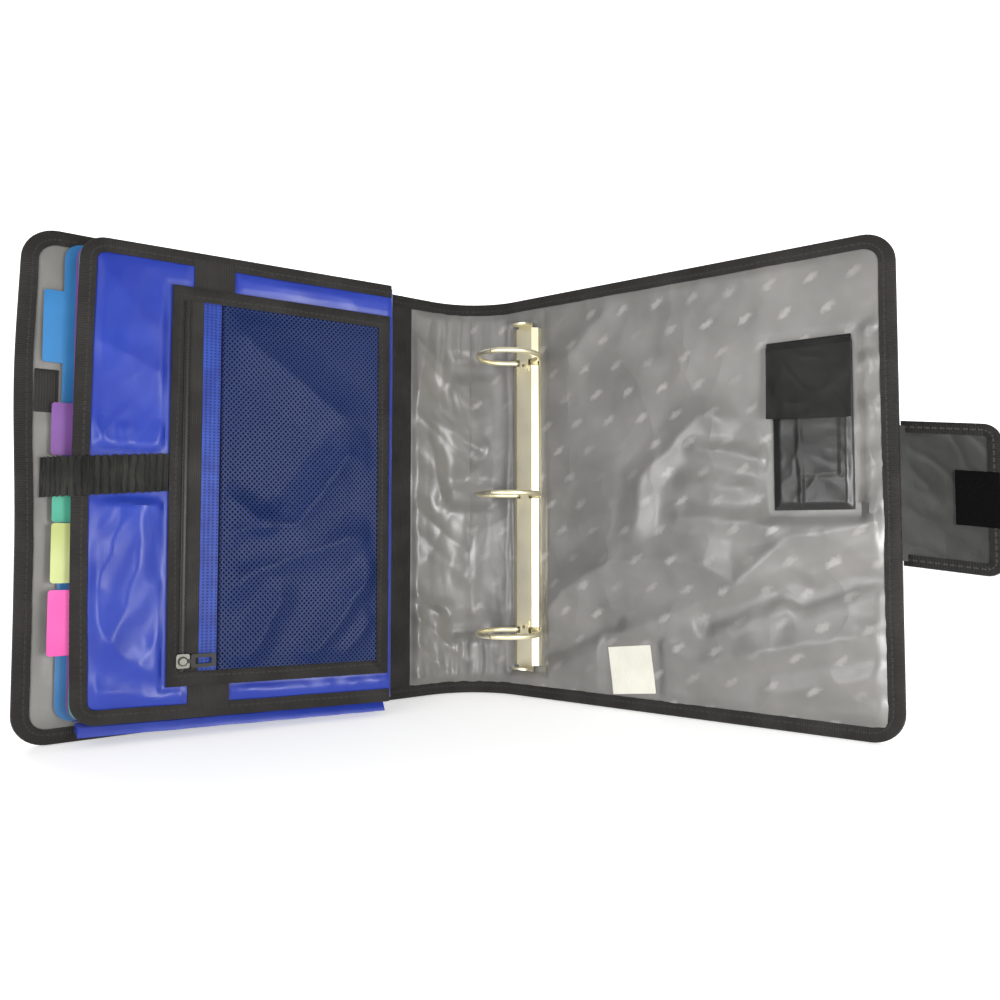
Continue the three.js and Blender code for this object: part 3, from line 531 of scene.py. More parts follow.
def pressed_board(name):
    """Recycled greyboard: dull, with short flecks of fibre"""
    finish = Finish(name, {"Roughness": 0.9, "IOR": 1.5})
    fibre = finish.noise(finish.place(), 400, 4)
    colour = finish.dye(fibre, "79746A", "A29C90", 0, 1)
    return finish.done({"Base Color": colour, "Normal": finish.bump(fibre, 0.3, 0.2)})


def napped_patch(name, code, size):
    """Nylon hook or loop tape: a dense nap that takes the light unevenly"""
    matt = {"Roughness": 0.95, "IOR": 1.5, "Specular IOR Level": 0.06}
    finish = Finish(name, {"Base Color": linear(code), **matt})
    nap = finish.add("TexVoronoi", {"Scale": 1 / size}, {"Vector": finish.millimetres()})
    return finish.done({"Normal": finish.bump(nap.outputs["Distance"], 0.8, 0.5)})


def moulded_nylon(name, code, rough, sheen=0):
    """Nylon monofilament or moulding: even, half gloss, paler at a glance where it is knitted"""
    base = {"Roughness": rough, "IOR": 1.53, "Specular IOR Level": 0.25, "Base Color": linear(code)}
    knit = {"Sheen Weight": sheen, "Sheen Roughness": 0.3, "Sheen Tint": linear("93A4D6")}
    finish = Finish(name, {**base, **knit})
    return finish.done({"Normal": finish.bump(finish.noise(finish.place(), 1200), 0.2, 0.1)})


def pierced_nylon(name):
    """The blue cloth with fine rows of needle holes, 2.6 mm apart"""
    sheen = {"Specular IOR Level": 0.25, "Sheen Weight": 0.03}
    finish = Finish(name, {"IOR": 1.5, "Roughness": 0.42, **sheen})
    at = finish.millimetres()
    colour = finish.dye(finish.noise(at, 1 / 20, 3), "1C3080", "284498")
    spots = finish.add("Mapping", {"Scale": (1 / 2.6, 1 / 2.0, 1)}, {"Vector": at}).outputs[0]
    dots = finish.add("TexVoronoi", {"Scale": 1, "Randomness": 0.0}, {"Vector": spots})
    hole = finish.remap(dots.outputs["Distance"], 0.0, 0.75, 0.3, 0.2)
    relief = finish.bump(hole, 0.6, 0.4, invert=True)
    return finish.done({"Base Color": finish.over(hole, colour, "0D1438"), "Normal": relief})


lining_print = coated_taffeta("printed_grey_taffeta", "656461", "757370", printed=True, shine=0.65)
lining_plain = coated_taffeta("plain_grey_taffeta", "6A6965", "797773", depth=1.2, shine=0.55)
tab_taffeta = coated_taffeta("dark_grey_taffeta", "232321", "2D2D2B", size=14, depth=1.2, shine=0.22)
blue_nylon = coated_taffeta("blue_oxford_nylon", "1C308E", "243A9A", 26, 0.34, 1.6, 0.4)
# The pouch backing's dark navy is painted shade: the net's shadow on the blue cloth behind it, put into
# the colour.
painted_shade_nylon = coated_taffeta("painted_shade_backing_nylon", "0A1030", "101840", 26, 0.5, 1.2, 0.08)
black_nylon = coated_taffeta("black_coated_nylon", "111110", "191918", 20, 0.42, 2.0, 0.22)
pocket_nylon = coated_taffeta("glossy_black_nylon", "191918", "242423", 16, 0.28, 1.4, 0.4)
edge_tape = woven_tape("black_grosgrain", "1F1D1B", "2A2826")
tab_binding = woven_tape("black_tab_grosgrain", "0F0E0D", "181716")
plain_webbing = woven_tape("black_webbing", "22201E", "2E2C2A", seam=False)
elastic_webbing = woven_tape("gathered_black_elastic", "1C1C1A", "2E2E2A", 1.2, 0.8, seam=False)
zip_webbing = woven_tape("zip_twill_tape", "272523", "33312E", 1.2, 0.8, seam=False)
label_satin = woven_tape("white_woven_label", "D4D3C6", "DEDDD0", 1.2, 0.6, seam=False)
gunmetal = plated_steel("blackened_zinc", "76766F", 0.3)
nickel = plated_steel("nickel_plated_steel", "F4ECCC", 0.42)
board = pressed_board("greyboard")
hook_nap = napped_patch("black_hook_tape", "060606", 1.2)
loop_nap = napped_patch("black_loop_tape", "161616", 1.6)
coil_nylon = moulded_nylon("black_nylon_coil", "262523", 0.35)
net_nylon = moulded_nylon("navy_knitted_net", "172A58", 0.45, sheen=0.18)
pierced_blue = pierced_nylon("needled_blue_nylon")
DIVIDERS = {
    "divider_blue": ("1E649C", "367EBA"),
    "divider_purple": ("74478F", "8A5CA8"),
    "divider_green": ("42A488", "5BBBA0"),
    "divider_yellow": ("B4BF74", "C8D28E"),
    "divider_pink": ("D53F96", "E85CAC"),
}


def hinge_blend(piece, side, reach=5):
    """Cloth that crosses a cover's hinge line, following the cover outside it and the spine inside it as
    spread lays it, has its transform baked into its mesh; the ends of the band round the hinge are worked
    out but not used
    """
    start = spread(side, BOW_LENGTH + reach, 0, HEIGHT / 2)
    end = spread(side, BOW_LENGTH - reach, 0, HEIGHT / 2)
    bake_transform(piece)


# Camera first: it stands where the photographer stood

def place_camera():
    data = bpy.data.cameras.new("camera")
    data.lens = 27.76
    data.sensor_width = 36
    data.clip_start = 0.01
    camera = bpy.data.objects.new("camera", data)
    camera.location = (-0.0124, -0.6473, 0.1311)
    camera.rotation_euler = (math.radians(90 + 2.54), 0, math.radians(-3.34))
    bpy.context.scene.collection.objects.link(camera)
    bpy.context.scene.camera = camera


# Cloth of the covers and spine

def inside(a, b, box, soft=5):
    """1 within a box on a cover and 0 outside it, with a soft edge"""
    a0, a1, b0, b1 = box
    across = ease(a0 - soft, a0, a) * ease(a1 + soft, a1, a)
    return across * ease(b0 - soft, b0, b) * ease(b1 + soft, b1, b)


def held_down(side, u, z):
    """How free the lining is to rise: little under the metal, pocket, label, file and side tab"""
    if side > 0:
        under = ((4, 33, 22, 303), (208, 266, 143, 264), (86, 129, 9, 52))
        return min(1 - inside(u, z, box) for box in under)
    beyond_file = ease(COVER - 30, COVER - 26, u)
    under_tab = ease(COVER - 28, COVER - 24, u) * ease(202, 206, z) * ease(241, 237, z)
    under_file = ease(SEAM_START - 5.5, SEAM_START + 0.5, u) * (1 - 0.15 * beyond_file)
    return min(1 - under_file, 1 - under_tab)


def lining_rise(side, t, z):
    """Height of the lining above the board: long folds at the spine, puckers along the tape"""
    along = side * t
    u = t - BOW_LENGTH
    drift = 11 * wander(along, z, 55, 1)
    ends = 0.55 + 0.6 * ease(90, 20, z) + 0.5 * ease(235, 300, z)
    folds = 0.5 + crease(along + drift * 0.5, z * 0.05, 11, 2, 1.5) * 0.8 * ends
    folds += crease(along * 0.7 - z * 0.42 + drift, z * 0.1, 34, 9, 2.2) * 0.5 * ease(40, 110, z)
    folds += 0.75 * folds_at(along, z, SPINE_FOLDS)
    folds *= (1.0 + 0.3 * wander(along, z, 38, 4)) * (1 - ease(34, 78, t))
    edge = min(COVER - u, z, HEIGHT - z) - TAPE
    run = z if COVER - u < min(z, HEIGHT - z) else along
    pucker = math.exp(-max(0, edge) / 13) * (0.5 + 0.5 * wander(run, edge * 0.2, 6.5, 5)) * 1.3
    low = ease(190, 100, z)
    wide = 0.5 + 0.5 * wander(along, z, 62, 6) + 1.4 * low
    wide += (0.2 + 0.6 * low) * crease(along * 0.42 + z * 0.85, along * 0.2, 44, 7, 2.2)
    wide += (0.3 + 0.5 * low) * crease(along * 0.35 - z * 0.9, z * 0.2 + 40, 30, 8, 2.4)
    if side > 0:
        wide += 1.35 * folds_at(u, z, BACK_FOLDS)
    else:
        wide += 1.6 * crease(along * 0.8 + z * 0.9, z * 0.1, 24, 10, 1.8)
    # The closed rings reach into the spine, so the lining lies low behind each of them
    ring = max(ease(15, 3, abs(z - middle)) for middle in RING_HEIGHTS)
    free = (0.1 + 0.9 * held_down(side, u, z)) * (1 - 0.85 * ring * ease(30, 15, abs(along - 2)))
    return max(0, free * ((folds + wide) * ease(-2, 6, edge) + pucker * ease(-4, 1, edge)))


def make_cover_cloth(side, name, nodes, slot, columns, rows, rise, material):
    """Lining or outer cloth of one cover with its half of the spine, tucked 3 mm under the tape"""

    def under(t, z):
        return rise(t, z) - CLOTH

    place = partial(spread, side)
    sheet = lay_sheet(name, place, columns, rows, rise, under, material, slot, None, *nodes)
    hinge_blend(sheet, side)


def make_lining(side, name, *nodes):
    columns = steps(0, BOW_LENGTH + 40, 1.6) + steps(BOW_LENGTH + 40, BOW_LENGTH + COVER - TUCK, 2.6)[1:]
    rows = steps(TUCK, HEIGHT - TUCK, 2.2)
    material = lining_print if side > 0 else lining_plain
    rise = partial(lining_rise, side)
    make_cover_cloth(side, name, nodes, "grey_lining", columns, rows, rise, material)


def make_outer_cloth(side, name, *nodes):
    """The outer cloth is drawn tight, with soft bulges over the board and spine"""

    def rise(t, z):
        edge = min(BOW_LENGTH + COVER - t, z, HEIGHT - z) - TAPE
        loose = ease(0, 8, edge)
        if side < 0 and 246 < t - BOW_LENGTH < 292 and 116 < z < 190:
            loose = 0
        bulge = 0.7 + 0.7 * wander(side * t, z, 48, 11)
        bulge += 0.7 * crease(side * t * 0.5 + z * 0.5, z, 64, 17, 2.0)
        bulge += 0.5 * crease(side * t, z * 0.6 + 50, 54, 18, 2.0)
        spine = 1 - ease(30, 70, t)
        bulge += 0.8 * crease(side * t + 6 * wander(t, z, 40, 12), z * 0.2, 17, 13, 3) * spine
        run = z if edge == BOW_LENGTH + COVER - t - TAPE else t
        pucker = 0.35 * math.exp(-max(0, edge) / 10) * (0.5 + 0.5 * wander(run, edge, 7, 14))
        return BOARD_BACK - max(0, loose * (bulge + pucker))

    columns = steps(0, BOW_LENGTH + 20, 1.8) + steps(BOW_LENGTH + 20, BOW_LENGTH + COVER - TUCK, 3.4)[1:]
    rows = steps(TUCK, HEIGHT - TUCK, 3)
    make_cover_cloth(side, name, nodes, "blue_nylon", columns, rows, rise, blue_nylon)


def make_edge_tape(side, name, *nodes):
    """Tape folded over the three free edges of a cover and half of the spine"""
    far = BOW_LENGTH + COVER
    outer = edge_path(0, far, 0, HEIGHT, COVER_RADIUS, 0)
    inner = []
    for k, (t, z) in enumerate(edge_path(0, far, 0, HEIGHT, COVER_RADIUS, TAPE)):
        stray = 0.35 * wander(k * 4, 0, 30, 21 + side) + 0.15 * wander(k * 4, 0, 9, 23)
        away = Vector((t, z)) - Vector(outer[k])
        inner.append(tuple(Vector(outer[k]) + away * (1 + stray / TAPE)))

    def place(t, v, z):
        ripple = 0.16 * wander(t * side, z, 7, 24) if v > 0.6 or v < -4.8 else 0
        return spread(side, t, v + (ripple if v > 0 else -ripple), z)

    tape = make_band(
        name, outer, inner, fold_profile(TAPE, 1.15, -5.3, 0.8), place, edge_tape,
        "black_tape", None, *nodes,
    )
    hinge_blend(tape, side)


# Metal: the CAD wires are rebuilt as round wire, the rest keeps its CAD shape

def wire_line(side, z):
    """The middle of one half ring: an arc, then the foot that goes down into its blade"""
    points = []
    for turn in steps(math.radians(1.15), math.radians(146), math.radians(144.85 / 28)):
        points.append((RING_RADIUS * math.sin(turn), RING_RISE + RING_RADIUS * math.cos(turn)))
    points += [(10.6, 9.6), (8.9, 8.4), (7.9, 7.0), (7.1, 5.6), (6.6, 3.6), (6.5, 2.3)]
    return [BACK.at(RING_PLACE + side * x, v, z) for x, v in points]


def make_rings(side, name, node, body):
    curve = bpy.data.curves.new(name, "CURVE")
    curve.dimensions = "3D"
    curve.bevel_depth = 0.002
    curve.bevel_resolution = 6
    curve.use_fill_caps = True
    for z in RING_HEIGHTS:
        line = wire_line(side, z)
        spline = curve.splines.new("POLY")
        spline.points.add(len(line) - 1)
        for point, place in zip(spline.points, line):
            point.co = (*place, 1)
    wires = bpy.data.objects.new(name + "_wires", curve)
    bpy.context.scene.collection.objects.link(wires)
    mesh = bpy.data.meshes.new_from_object(wires.evaluated_get(bpy.context.evaluated_depsgraph_get()))
    bpy.data.objects.remove(wires)
    mesh.materials.clear()
    mesh.shade_smooth()
    mesh.set_sharp_from_angle(angle=math.radians(50))
    settle(show(name, mesh, nickel), "nickel", body, node)
    across = [RING_PLACE + side * 0.3, RING_PLACE + side * 10.2]
    lay_sheet(
        name + "_blade", BACK.at, across, steps(33, 292, 20), lambda u, z: 3.0, 2.0, nickel,
        "nickel", body,
    )


def dress_cad_nodes():
    finishes = {"zip_slider": gunmetal, "zip_pull": coil_nylon}
    for name in ("back_board", "front_board", "spine_stiffener"):
        finishes[name] = board
    for name in ("housing", "rivet_lower", "rivet_upper", "lever_upper", "lever_lower"):
        finishes["ring_" + name] = nickel
    for name, (dark, light) in DIVIDERS.items():
        finishes[name] = extruded_sheet(name + "_polypropylene", dark, light)
    for name, material in finishes.items():
        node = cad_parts[name]
        node.data.materials.clear()
        node.data.materials.append(material)


# Pocket, label and closing tab

def make_pocket():
    u0, u1, z0 = POCKET_NEAR, POCKET_FAR, POCKET_FOOT

    def rise(u, z):
        rim = min(u - u0, u1 - u, z - z0)
        body = 1.0 + 2.1 * ease(0, 5, rim)
        raised = ease(u0 + 15, u0 + 17.5, u) * ease(u1 - 7.5, u1 - 10, u)
        raised *= ease(z0 + 21, z0 + 24, z) * ease(z0 + 70, z0 + 66, z)
        off = u - (u0 + 17) - 1.5 * wander(0, z, 30, 31)
        pleat = 0.9 * math.exp(-((off / 1.6) ** 2)) * ease(z0 + 70, z0 + 50, z)
        slack = 0.45 * wander(u, z, 16, 32) + 0.5 * crease(u + z * 0.3, z, 18, 33, 3)
        return min(4.1, CLEAR + body + 0.55 * raised + pleat * 0.6 + slack * ease(0, 6, rim) * 0.8)

    columns, rows = steps(u0, u1, 0.9), steps(z0, POCKET_TOP, 1.2)
    lay_sheet(
        "pocket_bag", BACK.at, columns, rows, rise, CLEAR, pocket_nylon,
        "coated_nylon", "back_cover", "pocket_body",
    )

    def hem_rise(u, z):
        round_off = math.sin(math.pi * min(1, max(0, (z - 256.2) / 5.8)))
        return 0.9 + 2.6 * round_off + 0.2 * wander(u, z, 8, 34)

    columns, rows = steps(FLAP_NEAR, FLAP_FAR, 1.5), steps(257.3, 260.9, 0.6)
    lay_sheet(
        "pocket_hem", BACK.at, columns, rows, hem_rise, CLEAR, black_nylon,
        "coated_nylon", "back_cover", "pocket_flap_hem",
    )

    def flap_at(lift, u, z):
        low = (FLAP_TOP - z) / 50
        curl = 1.4 * low * low * (0.6 + 0.6 * wander(u, 0, 22, 35)) + 0.5 * wander(u, z, 14, 36) * low
        roll = -1.6 * ease(255.2, FLAP_TOP, z) + 0.6 * crease(u * 0.3 + z, u, 20, 37, 4)
        roll += (0.5 + 1.6 * low) * crease(u + 0.15 * z, z * 0.12, 15, 38, 2.2)
        skew = (u - 235) * 0.015 * low * 3
        return BACK.at(u, max(4.25, 4.5 + curl + roll * 0.4) + lift, z - skew)

    columns, rows = steps(FLAP_NEAR, FLAP_FAR, 1.1), steps(FLAP_FOOT, FLAP_TOP, 1.1)
    faces = partial(flap_at, 0.7), partial(flap_at, 0)
    flap = make_sheet(
        "pocket_flap_cloth", columns, rows, *faces, black_nylon, "coated_nylon", "flap", "pocket_flap"
    )


def make_label():
    turn = math.radians(LABEL_TURN)

    def place(a, v, b):
        u = LABEL_OUT + a * math.cos(turn) - b * math.sin(turn)
        return BACK.at(u, v, LABEL_UP + a * math.sin(turn) + b * math.cos(turn))

    def under(a, b):
        return 0.35 + 0.35 * ease(-8, -17.5, b) * (1 + wander(a, b, 9, 41)) + 0.12 * wander(a, b, 7, 42)

    columns, rows = steps(-17, 17, 1), steps(-17.5, 17.5, 1)
    label = lay_sheet(
        "blank_label", place, columns, rows, lambda a, b: under(a, b) + 0.25, under, label_satin,
        "label_cloth", "back_cover", "care_label",
    )


def make_closing_tab():
    low, high = TAB_MIDDLE - TAB_HALF, TAB_MIDDLE + TAB_HALF

    def slack(x, z):
        return 0.3 * wander(x, z, 14, 51) + 0.25 * crease(x + z * 0.4, z, 16, 52, 3)

    def lining(name, node, x0, x1, free):
        def rise(x, z):
            return -1.35 + slack(x, z) * free(x)

        def under(x, z):
            return -3.3 + slack(x, z) * 0.5 * free(x)

        columns, rows = steps(x0, x1, 1.2), steps(low + 3, high - 3, 1.6)
        finish = tab_taffeta, "tab_lining", None, node
        return lay_sheet(name, on_tab, columns, rows, rise, under, *finish)

    near = lining("tab_lining_root", "tab_cloth_inner_half", -3.5, 15, partial(ease, 0, 6))
    root = {"start": on_tab(0.2, TAB_CORE, TAB_MIDDLE), "end": on_tab(3.4, TAB_CORE, TAB_MIDDLE)}
    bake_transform(near)
    far = lining("tab_lining_end", "tab_cloth_outer_half", 15, TAB_LENGTH - 3, lambda x: 1)

    # The tape is flattened where it meets the cover
    outer = edge_path(0.4, TAB_LENGTH, low, high, TAB_RADIUS, 0, 2)
    inner = edge_path(0.4, TAB_LENGTH, low, high, TAB_RADIUS, TAB_TAPE, 2)

    def taped(x, v, z):
        thin = 0.15 + 0.85 * ease(0.4, 6, x)
        return on_tab(x, TAB_CORE + (v - TAB_CORE + 0.15 * wander(x, z, 8, 53)) * thin, z)

    profile = fold_profile(TAB_TAPE, -0.4, -4.4, 0.9)
    tape = make_band(
        "tab_edge_tape", outer, inner, profile, taped, tab_binding,
        "black_tape", None, "tab_tape_upper", "tab_tape_lower", "tab_tape_end",
    )
    start, end = (on_tab(TAB_FOLD + reach, TAB_CORE, TAB_MIDDLE) for reach in (-2.5, 2.5))
    for piece in (far, tape):
        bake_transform(piece)
        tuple(start)
        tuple(end)

    x0, x1, z0, z1 = 29.2, 52, TAB_MIDDLE - 16.5, TAB_MIDDLE + 16.5

    def nap(x, z):
        return 0.35 + 0.3 * ease(0, 1.6, min(x - x0, x1 - x, z - z0, z1 - z)) + 0.1 * wander(x, z, 3, 54)

    def under(x, z):
        return -0.95 if x < 45.6 else -0.1

    columns, rows = steps(x0, x1, 0.9), steps(z0, z1, 0.9)
    lay_sheet(
        "hook_patch", on_tab, columns, rows, nap, under, hook_nap,
        "hook_and_loop", "tab_outer_half", "tab_hook_patch",
    )


# File on the front cover

def make_end_pleats():
    """Six pleats between the dividers, pointing to the spine"""
    turns = []
    v0, v6 = 1.6, 44.6
    for k in range(6):
        a, b = v0 + (v6 - v0) * k / 6, v0 + (v6 - v0) * (k + 1) / 6
        mid = (a + b) / 2
        turns += [(57.6, a + 0.4), (56.9, a + 1.0), (54.7, mid - 0.5), (54.4, mid)]
        turns += [(54.7, mid + 0.5), (56.9, b - 1.0), (57.6, b - 0.4)]

    def pleat(shift, k, z):
        u, v = turns[int(k)]
        return FRONT.at(u + shift + 0.35 * wander(v * 3, z, 26, 62), v, z)

    columns, rows = list(range(len(turns))), steps(12.5, 313.6, 5)
    faces = partial(pleat, 0), partial(pleat, CLOTH)
    pleats = make_sheet(
        "file_end_pleats", columns, rows, *faces, blue_nylon, "blue_nylon", "front_cover", "file_bellows"
    )
    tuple(FRONT.normal)
    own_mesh(pleats)


def make_foot_pleats():
    """The folded foot gets thinner as it goes out, and is built in lengths, each with its own mesh"""
    wave_height = 5.2

    def depth(u):
        return DEPTH_NEAR + (DEPTH_FAR - DEPTH_NEAR) * (u - FILE_NEAR) / FILE_REACH

    def foot(lift, share, u):
        wave = abs((share * 6) % 1 - 0.5) * 2
        z = 9.3 + FILE_RAISE * (u - FILE_NEAR) * 0.9 - wave_height * wave + lift
        v = 1.8 + (depth(u) - 3.4 - 1.8) * share
        return FRONT.at(u, v, z + 0.3 * wander(u, share * 40, 16, 63))

    edges = steps(60, 254, 26)
    for k, (u0, u1) in enumerate(zip(edges, edges[1:])):
        columns, rows = steps(0, 1, 1 / 24), steps(u0, u1, 3)
        faces = partial(foot, 0), partial(foot, -CLOTH)
        finish = blue_nylon, "blue_nylon", "front_cover", *(["file_gusset"] if k == 0 else [])
        folded = make_sheet(f"file_foot_pleats_{k + 1}", columns, rows, *faces, *finish)
        middle = depth((u0 + u1) / 2)
        anchor, keep = FRONT.at(FILE_NEAR, 0, 10), (middle - PRESS) / middle
        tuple(FRONT.normal)
        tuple(anchor)
        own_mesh(folded)


def make_file():
    def rise(u, z):
        return 1.25 + 0.1 * wander(u, z, 30, 61)

    columns, rows = steps(FILE_NEAR - 1, FILE_NEAR + FILE_REACH - 1, 5), steps(13, FILE_TOP, 5)
    wall = lay_sheet(
        "file_rear_wall", FRONT.at, columns, rows, rise, 0.4, blue_nylon,
        "blue_nylon", "front_cover", "file_back_panel",
    )
    make_end_pleats()
    make_foot_pleats()


def panel_rise(s, z):
    """The blue panel is slack: soft diagonal folds, strongest in its lower half and by the elastic"""
    over_pouch = ease(POUCH_FOOT - 1, POUCH_FOOT - 4, z) + ease(POUCH_TOP + 1, POUCH_TOP + 4, z)
    over_pouch += ease(150, 153, s)
    under_strap = ease(106, 110, s) * ease(140, 136, s) * max(ease(38, 36, z), ease(284, 286, z))
    off = z - ELASTIC_MIDDLE
    under_elastic = ease(20, 14, abs(off)) * ease(146, 150, s)
    tight = ease(-2, 6, min(FILE_WIDTH - s, z - FILE_FOOT, FILE_TOP - z) - FILE_TAPE)
    free = min(1, over_pouch) * (1 - under_strap) * (1 - under_elastic) * tight
    drag = crease(s + 0.45 * z + 8 * wander(s, z, 30, 71), z * 0.25, 19, 72, 1.9)
    long = crease(s * 0.9 - 0.2 * z, z * 0.14, 17, 73, 2.0)
    pull = ease(48, 16, abs(off)) * ease(150, 165, s)
    pull *= crease(s * 0.8 + off * 0.5, 0, 9, 78, 1.6)
    soft = (0.5 + 1.3 * ease(170, 120, z)) * (0.5 * drag + 0.3 * long)
    soft += 0.8 + 0.8 * wander(s, z, 30, 74) + 0.8 * pull + folds_at(s, z, PANEL_FOLDS)
    return max(0, free * soft)


def make_file_panel():
    panel = lay_sheet(
        "file_front_cloth",
        on_panel,
        [0, 0.3, 0.9] + steps(2, FILE_WIDTH - 5, 1.7),
        steps(FILE_FOOT + 5, FILE_TOP - 5, 1.9),
        lambda s, z: panel_rise(s, z) - 0.7 * ease(2.4, 0, s),
        lambda s, z: -1.5 + 0.6 * ease(2.4, 0, s),
        blue_nylon, "blue_nylon", "file_panel", "file_front_panel",
    )
    outer = edge_path(0.4, FILE_WIDTH, FILE_FOOT, FILE_TOP, FILE_RADIUS, 0)
    drawn = edge_path(0.4, FILE_WIDTH, FILE_FOOT, FILE_TOP, FILE_RADIUS, FILE_TAPE)
    inner = []
    for k, (a, b) in enumerate(zip(outer, drawn)):
        away = (Vector(b) - Vector(a)) * (1 + 0.03 * wander(k * 4, 0, 26, 75))
        inner.append(tuple(Vector(a) + away))
    make_band(
        "file_edge_tape",
        outer,
        inner,
        fold_profile(FILE_TAPE, 1.15, -2.6, 0.8),
        lambda s, v, z: on_panel(s, v + (0.14 * wander(s, z, 7, 76) if v > 0.5 else 0), z),
        edge_tape, "black_tape", "file_panel", "file_panel_tape",
    )


def make_seam_tape_and_shadow():
    """A black webbing strip on the front lining along the file's near edge, the tape that carries that
    edge; its dark band is also painted shadow of the file on the lining
    """

    def rise(u, z):
        loose = ease(50, 20, u) * ease(SEAM_START, SEAM_START + 5.5, u)
        return 1.5 + 0.35 * wander(u, z, 16, 79) + 1.1 * loose * crease(u, z * 0.3, 9, 80, 2.4)

    columns, rows = steps(SEAM_START, 54.4, 1.5), steps(TAPE + CLEAR, HEIGHT - TAPE - CLEAR, 3)
    # Painted shadow: this black strip also stands for the file's shadow on the front lining.
    seam = lay_sheet(
        "file_seam_webbing_and_shadow", FRONT.at, columns, rows, rise, CLEAR, plain_webbing,
        "black_tape", "front_cover", "file_seam_tape",
    )


def make_straps():
    far = POUCH_FAR - 12.6
    near = far - 25

    def rise(s, z):
        return 1.75 + 0.15 * wander(s, z, 9, 77) - 0.3 * ease(1, 0, min(s - near, far - s))

    ends = ("upper", POUCH_TOP - 4, FILE_TOP - 5), ("lower", FILE_FOOT + 5, POUCH_FOOT + 4)
    for label, z0, z1 in ends:
        name = f"pouch_strap_cloth_{label}"
        lay_sheet(
            name, on_panel, steps(near, far, 1.5), steps(z0, z1, 1.5), rise, CLEAR, plain_webbing,
            "black_tape", "file_panel", f"pouch_strap_{label}",
        )


def net_rise(s, z):
    """The net bags out a little, in long slanting folds"""
    edge = min(s - 10, 117 - s, z - 40, POUCH_TOP - 9 - z)
    slack = crease(s * 0.8 + z * 0.5 + 10 * wander(s, z, 45, 81), z * 0.2 - s * 0.1, 26, 82, 2.4)
    bag = 0.4 + 0.4 * slack + 0.4 * wander(s, z, 34, 83) + 1.8 * folds_at(s, z, NET_FOLDS)
    return 2.35 + ease(-1, 12, edge) * max(0, bag)


def make_net():
    """Knitted net: diamond gaps of about 3 mm between flat strands, each gap a hole"""
    across, up, strand = 3.1, 3.5, 0.52
    half = across / 2
    s0, s1, z0, z1 = 8.0, 119.0, POUCH_FOOT + 7.5, POUCH_TOP - 7.5
    points, faces, uvs, known = [], [], [], {}

    def vertex(s, z, lift=0.0):
        key = (round(s, 3), round(z, 3))
        if key not in known:
            known[key] = len(points)
            points.append(on_panel(s, net_rise(s, z) + lift, z))
            uvs.append((s, z))
        return known[key]

    def diamond(s, z, wide, high):
        return [(s + wide, z), (s, z + high), (s - wide, z), (s, z - high)]

    for j in range(1, int((z1 - z0) / (up / 2))):
        z = z0 + j * up / 2
        s = s0 + (half if j % 2 else across)
        while s + half <= s1:
            rim = [vertex(*p, 0.25) for p in diamond(s, z, half, up / 2)]
            hole = [vertex(*p) for p in diamond(s, z, half - strand * 1.3, up / 2 - strand * 1.5)]
            for m in range(4):
                n = (m + 1) % 4
                faces.append((rim[m], rim[n], hole[n], hole[m]))
            s += across
    net = make_mesh(
        "knitted_net", points, faces, uvs, net_nylon, "navy_net", "file_panel", "pouch_net", sharp=180
    )


def make_binding():
    """The pouch's binding: four mitred sides round the window"""

    def frame_of(near, far, foot, top):
        return [(near, foot), (near, top), (far, top), (far, foot)]

    corners = frame_of(POUCH_NEAR, POUCH_FAR, POUCH_FOOT, POUCH_TOP)
    window = frame_of(POUCH_NEAR + 8.8, POUCH_FAR - 7, POUCH_FOOT + 9.5, POUCH_TOP - 9.5)
    outer, inner = [], []
    for k in range(4):
        n = (k + 1) % 4
        count = 60 if k % 2 == 0 else 34
        for m in range(count):
            for path, ends in ((outer, corners), (inner, window)):
                path.append(tuple(Vector(ends[k]).lerp(Vector(ends[n]), m / count)))
    face = [(1, 3.35), (0.93, 3.75), (0.5, 3.8), (0.12, 3.6), (0.02, 2.9), (0, 1.9), (0.02, 0.9)]
    lip = [(0.12, 0.35), (1, 0.3), (1, 0.9), (0.16, 0.95), (0.12, 2), (0.16, 2.75), (1, 2.8)]
    make_band(
        "pouch_binding",
        outer,
        inner,
        face + lip,
        lambda s, v, z: on_panel(s, v + (0.16 * wander(s, z, 8, 85) if v > 2.9 else 0), z),
        edge_tape, "black_tape", "file_panel", "pouch_tape",
        closed=True,
    )


def make_pouch():
    def behind_net(s, z):
        return net_rise(s, z) - 0.85

    def strip_rise(s, z):
        return 2.65 + 0.12 * wander(s, z, 10, 86)

    columns = steps(POUCH_NEAR + 1, POUCH_FAR - 1, 2.2)
    rows = steps(POUCH_FOOT + 1, POUCH_TOP - 1, 2.4)
    # The backing is coloured dark as painted shade of the net that lies over it.
    backing = lay_sheet(
        "pouch_backing", on_panel, columns, rows, behind_net, 1.2, painted_shade_nylon,
        "blue_nylon", "file_panel", "pouch_back",
    )
    make_binding()
    for name, node, s0, s1, slot, material in (
        ("zip_tape_far", "zip_tape_outer", ZIP_LINE + 0.2, 146, "black_tape", zip_webbing),
        ("zip_tape_near", "zip_tape_inner", ZIP_LINE - 9.4, ZIP_LINE - 0.2, "black_tape", zip_webbing),
        ("needled_strip", "pouch_strip", ZIP_LINE - 20.3, ZIP_LINE - 9.5, "blue_nylon", pierced_blue),
    ):
        columns, rows = steps(s0, s1, 1.6), steps(POUCH_FOOT + 1, POUCH_TOP - 1, 3)
        finish = material, slot, "file_panel", node
        lay_sheet(name, on_panel, columns, rows, strip_rise, 2.1, *finish)


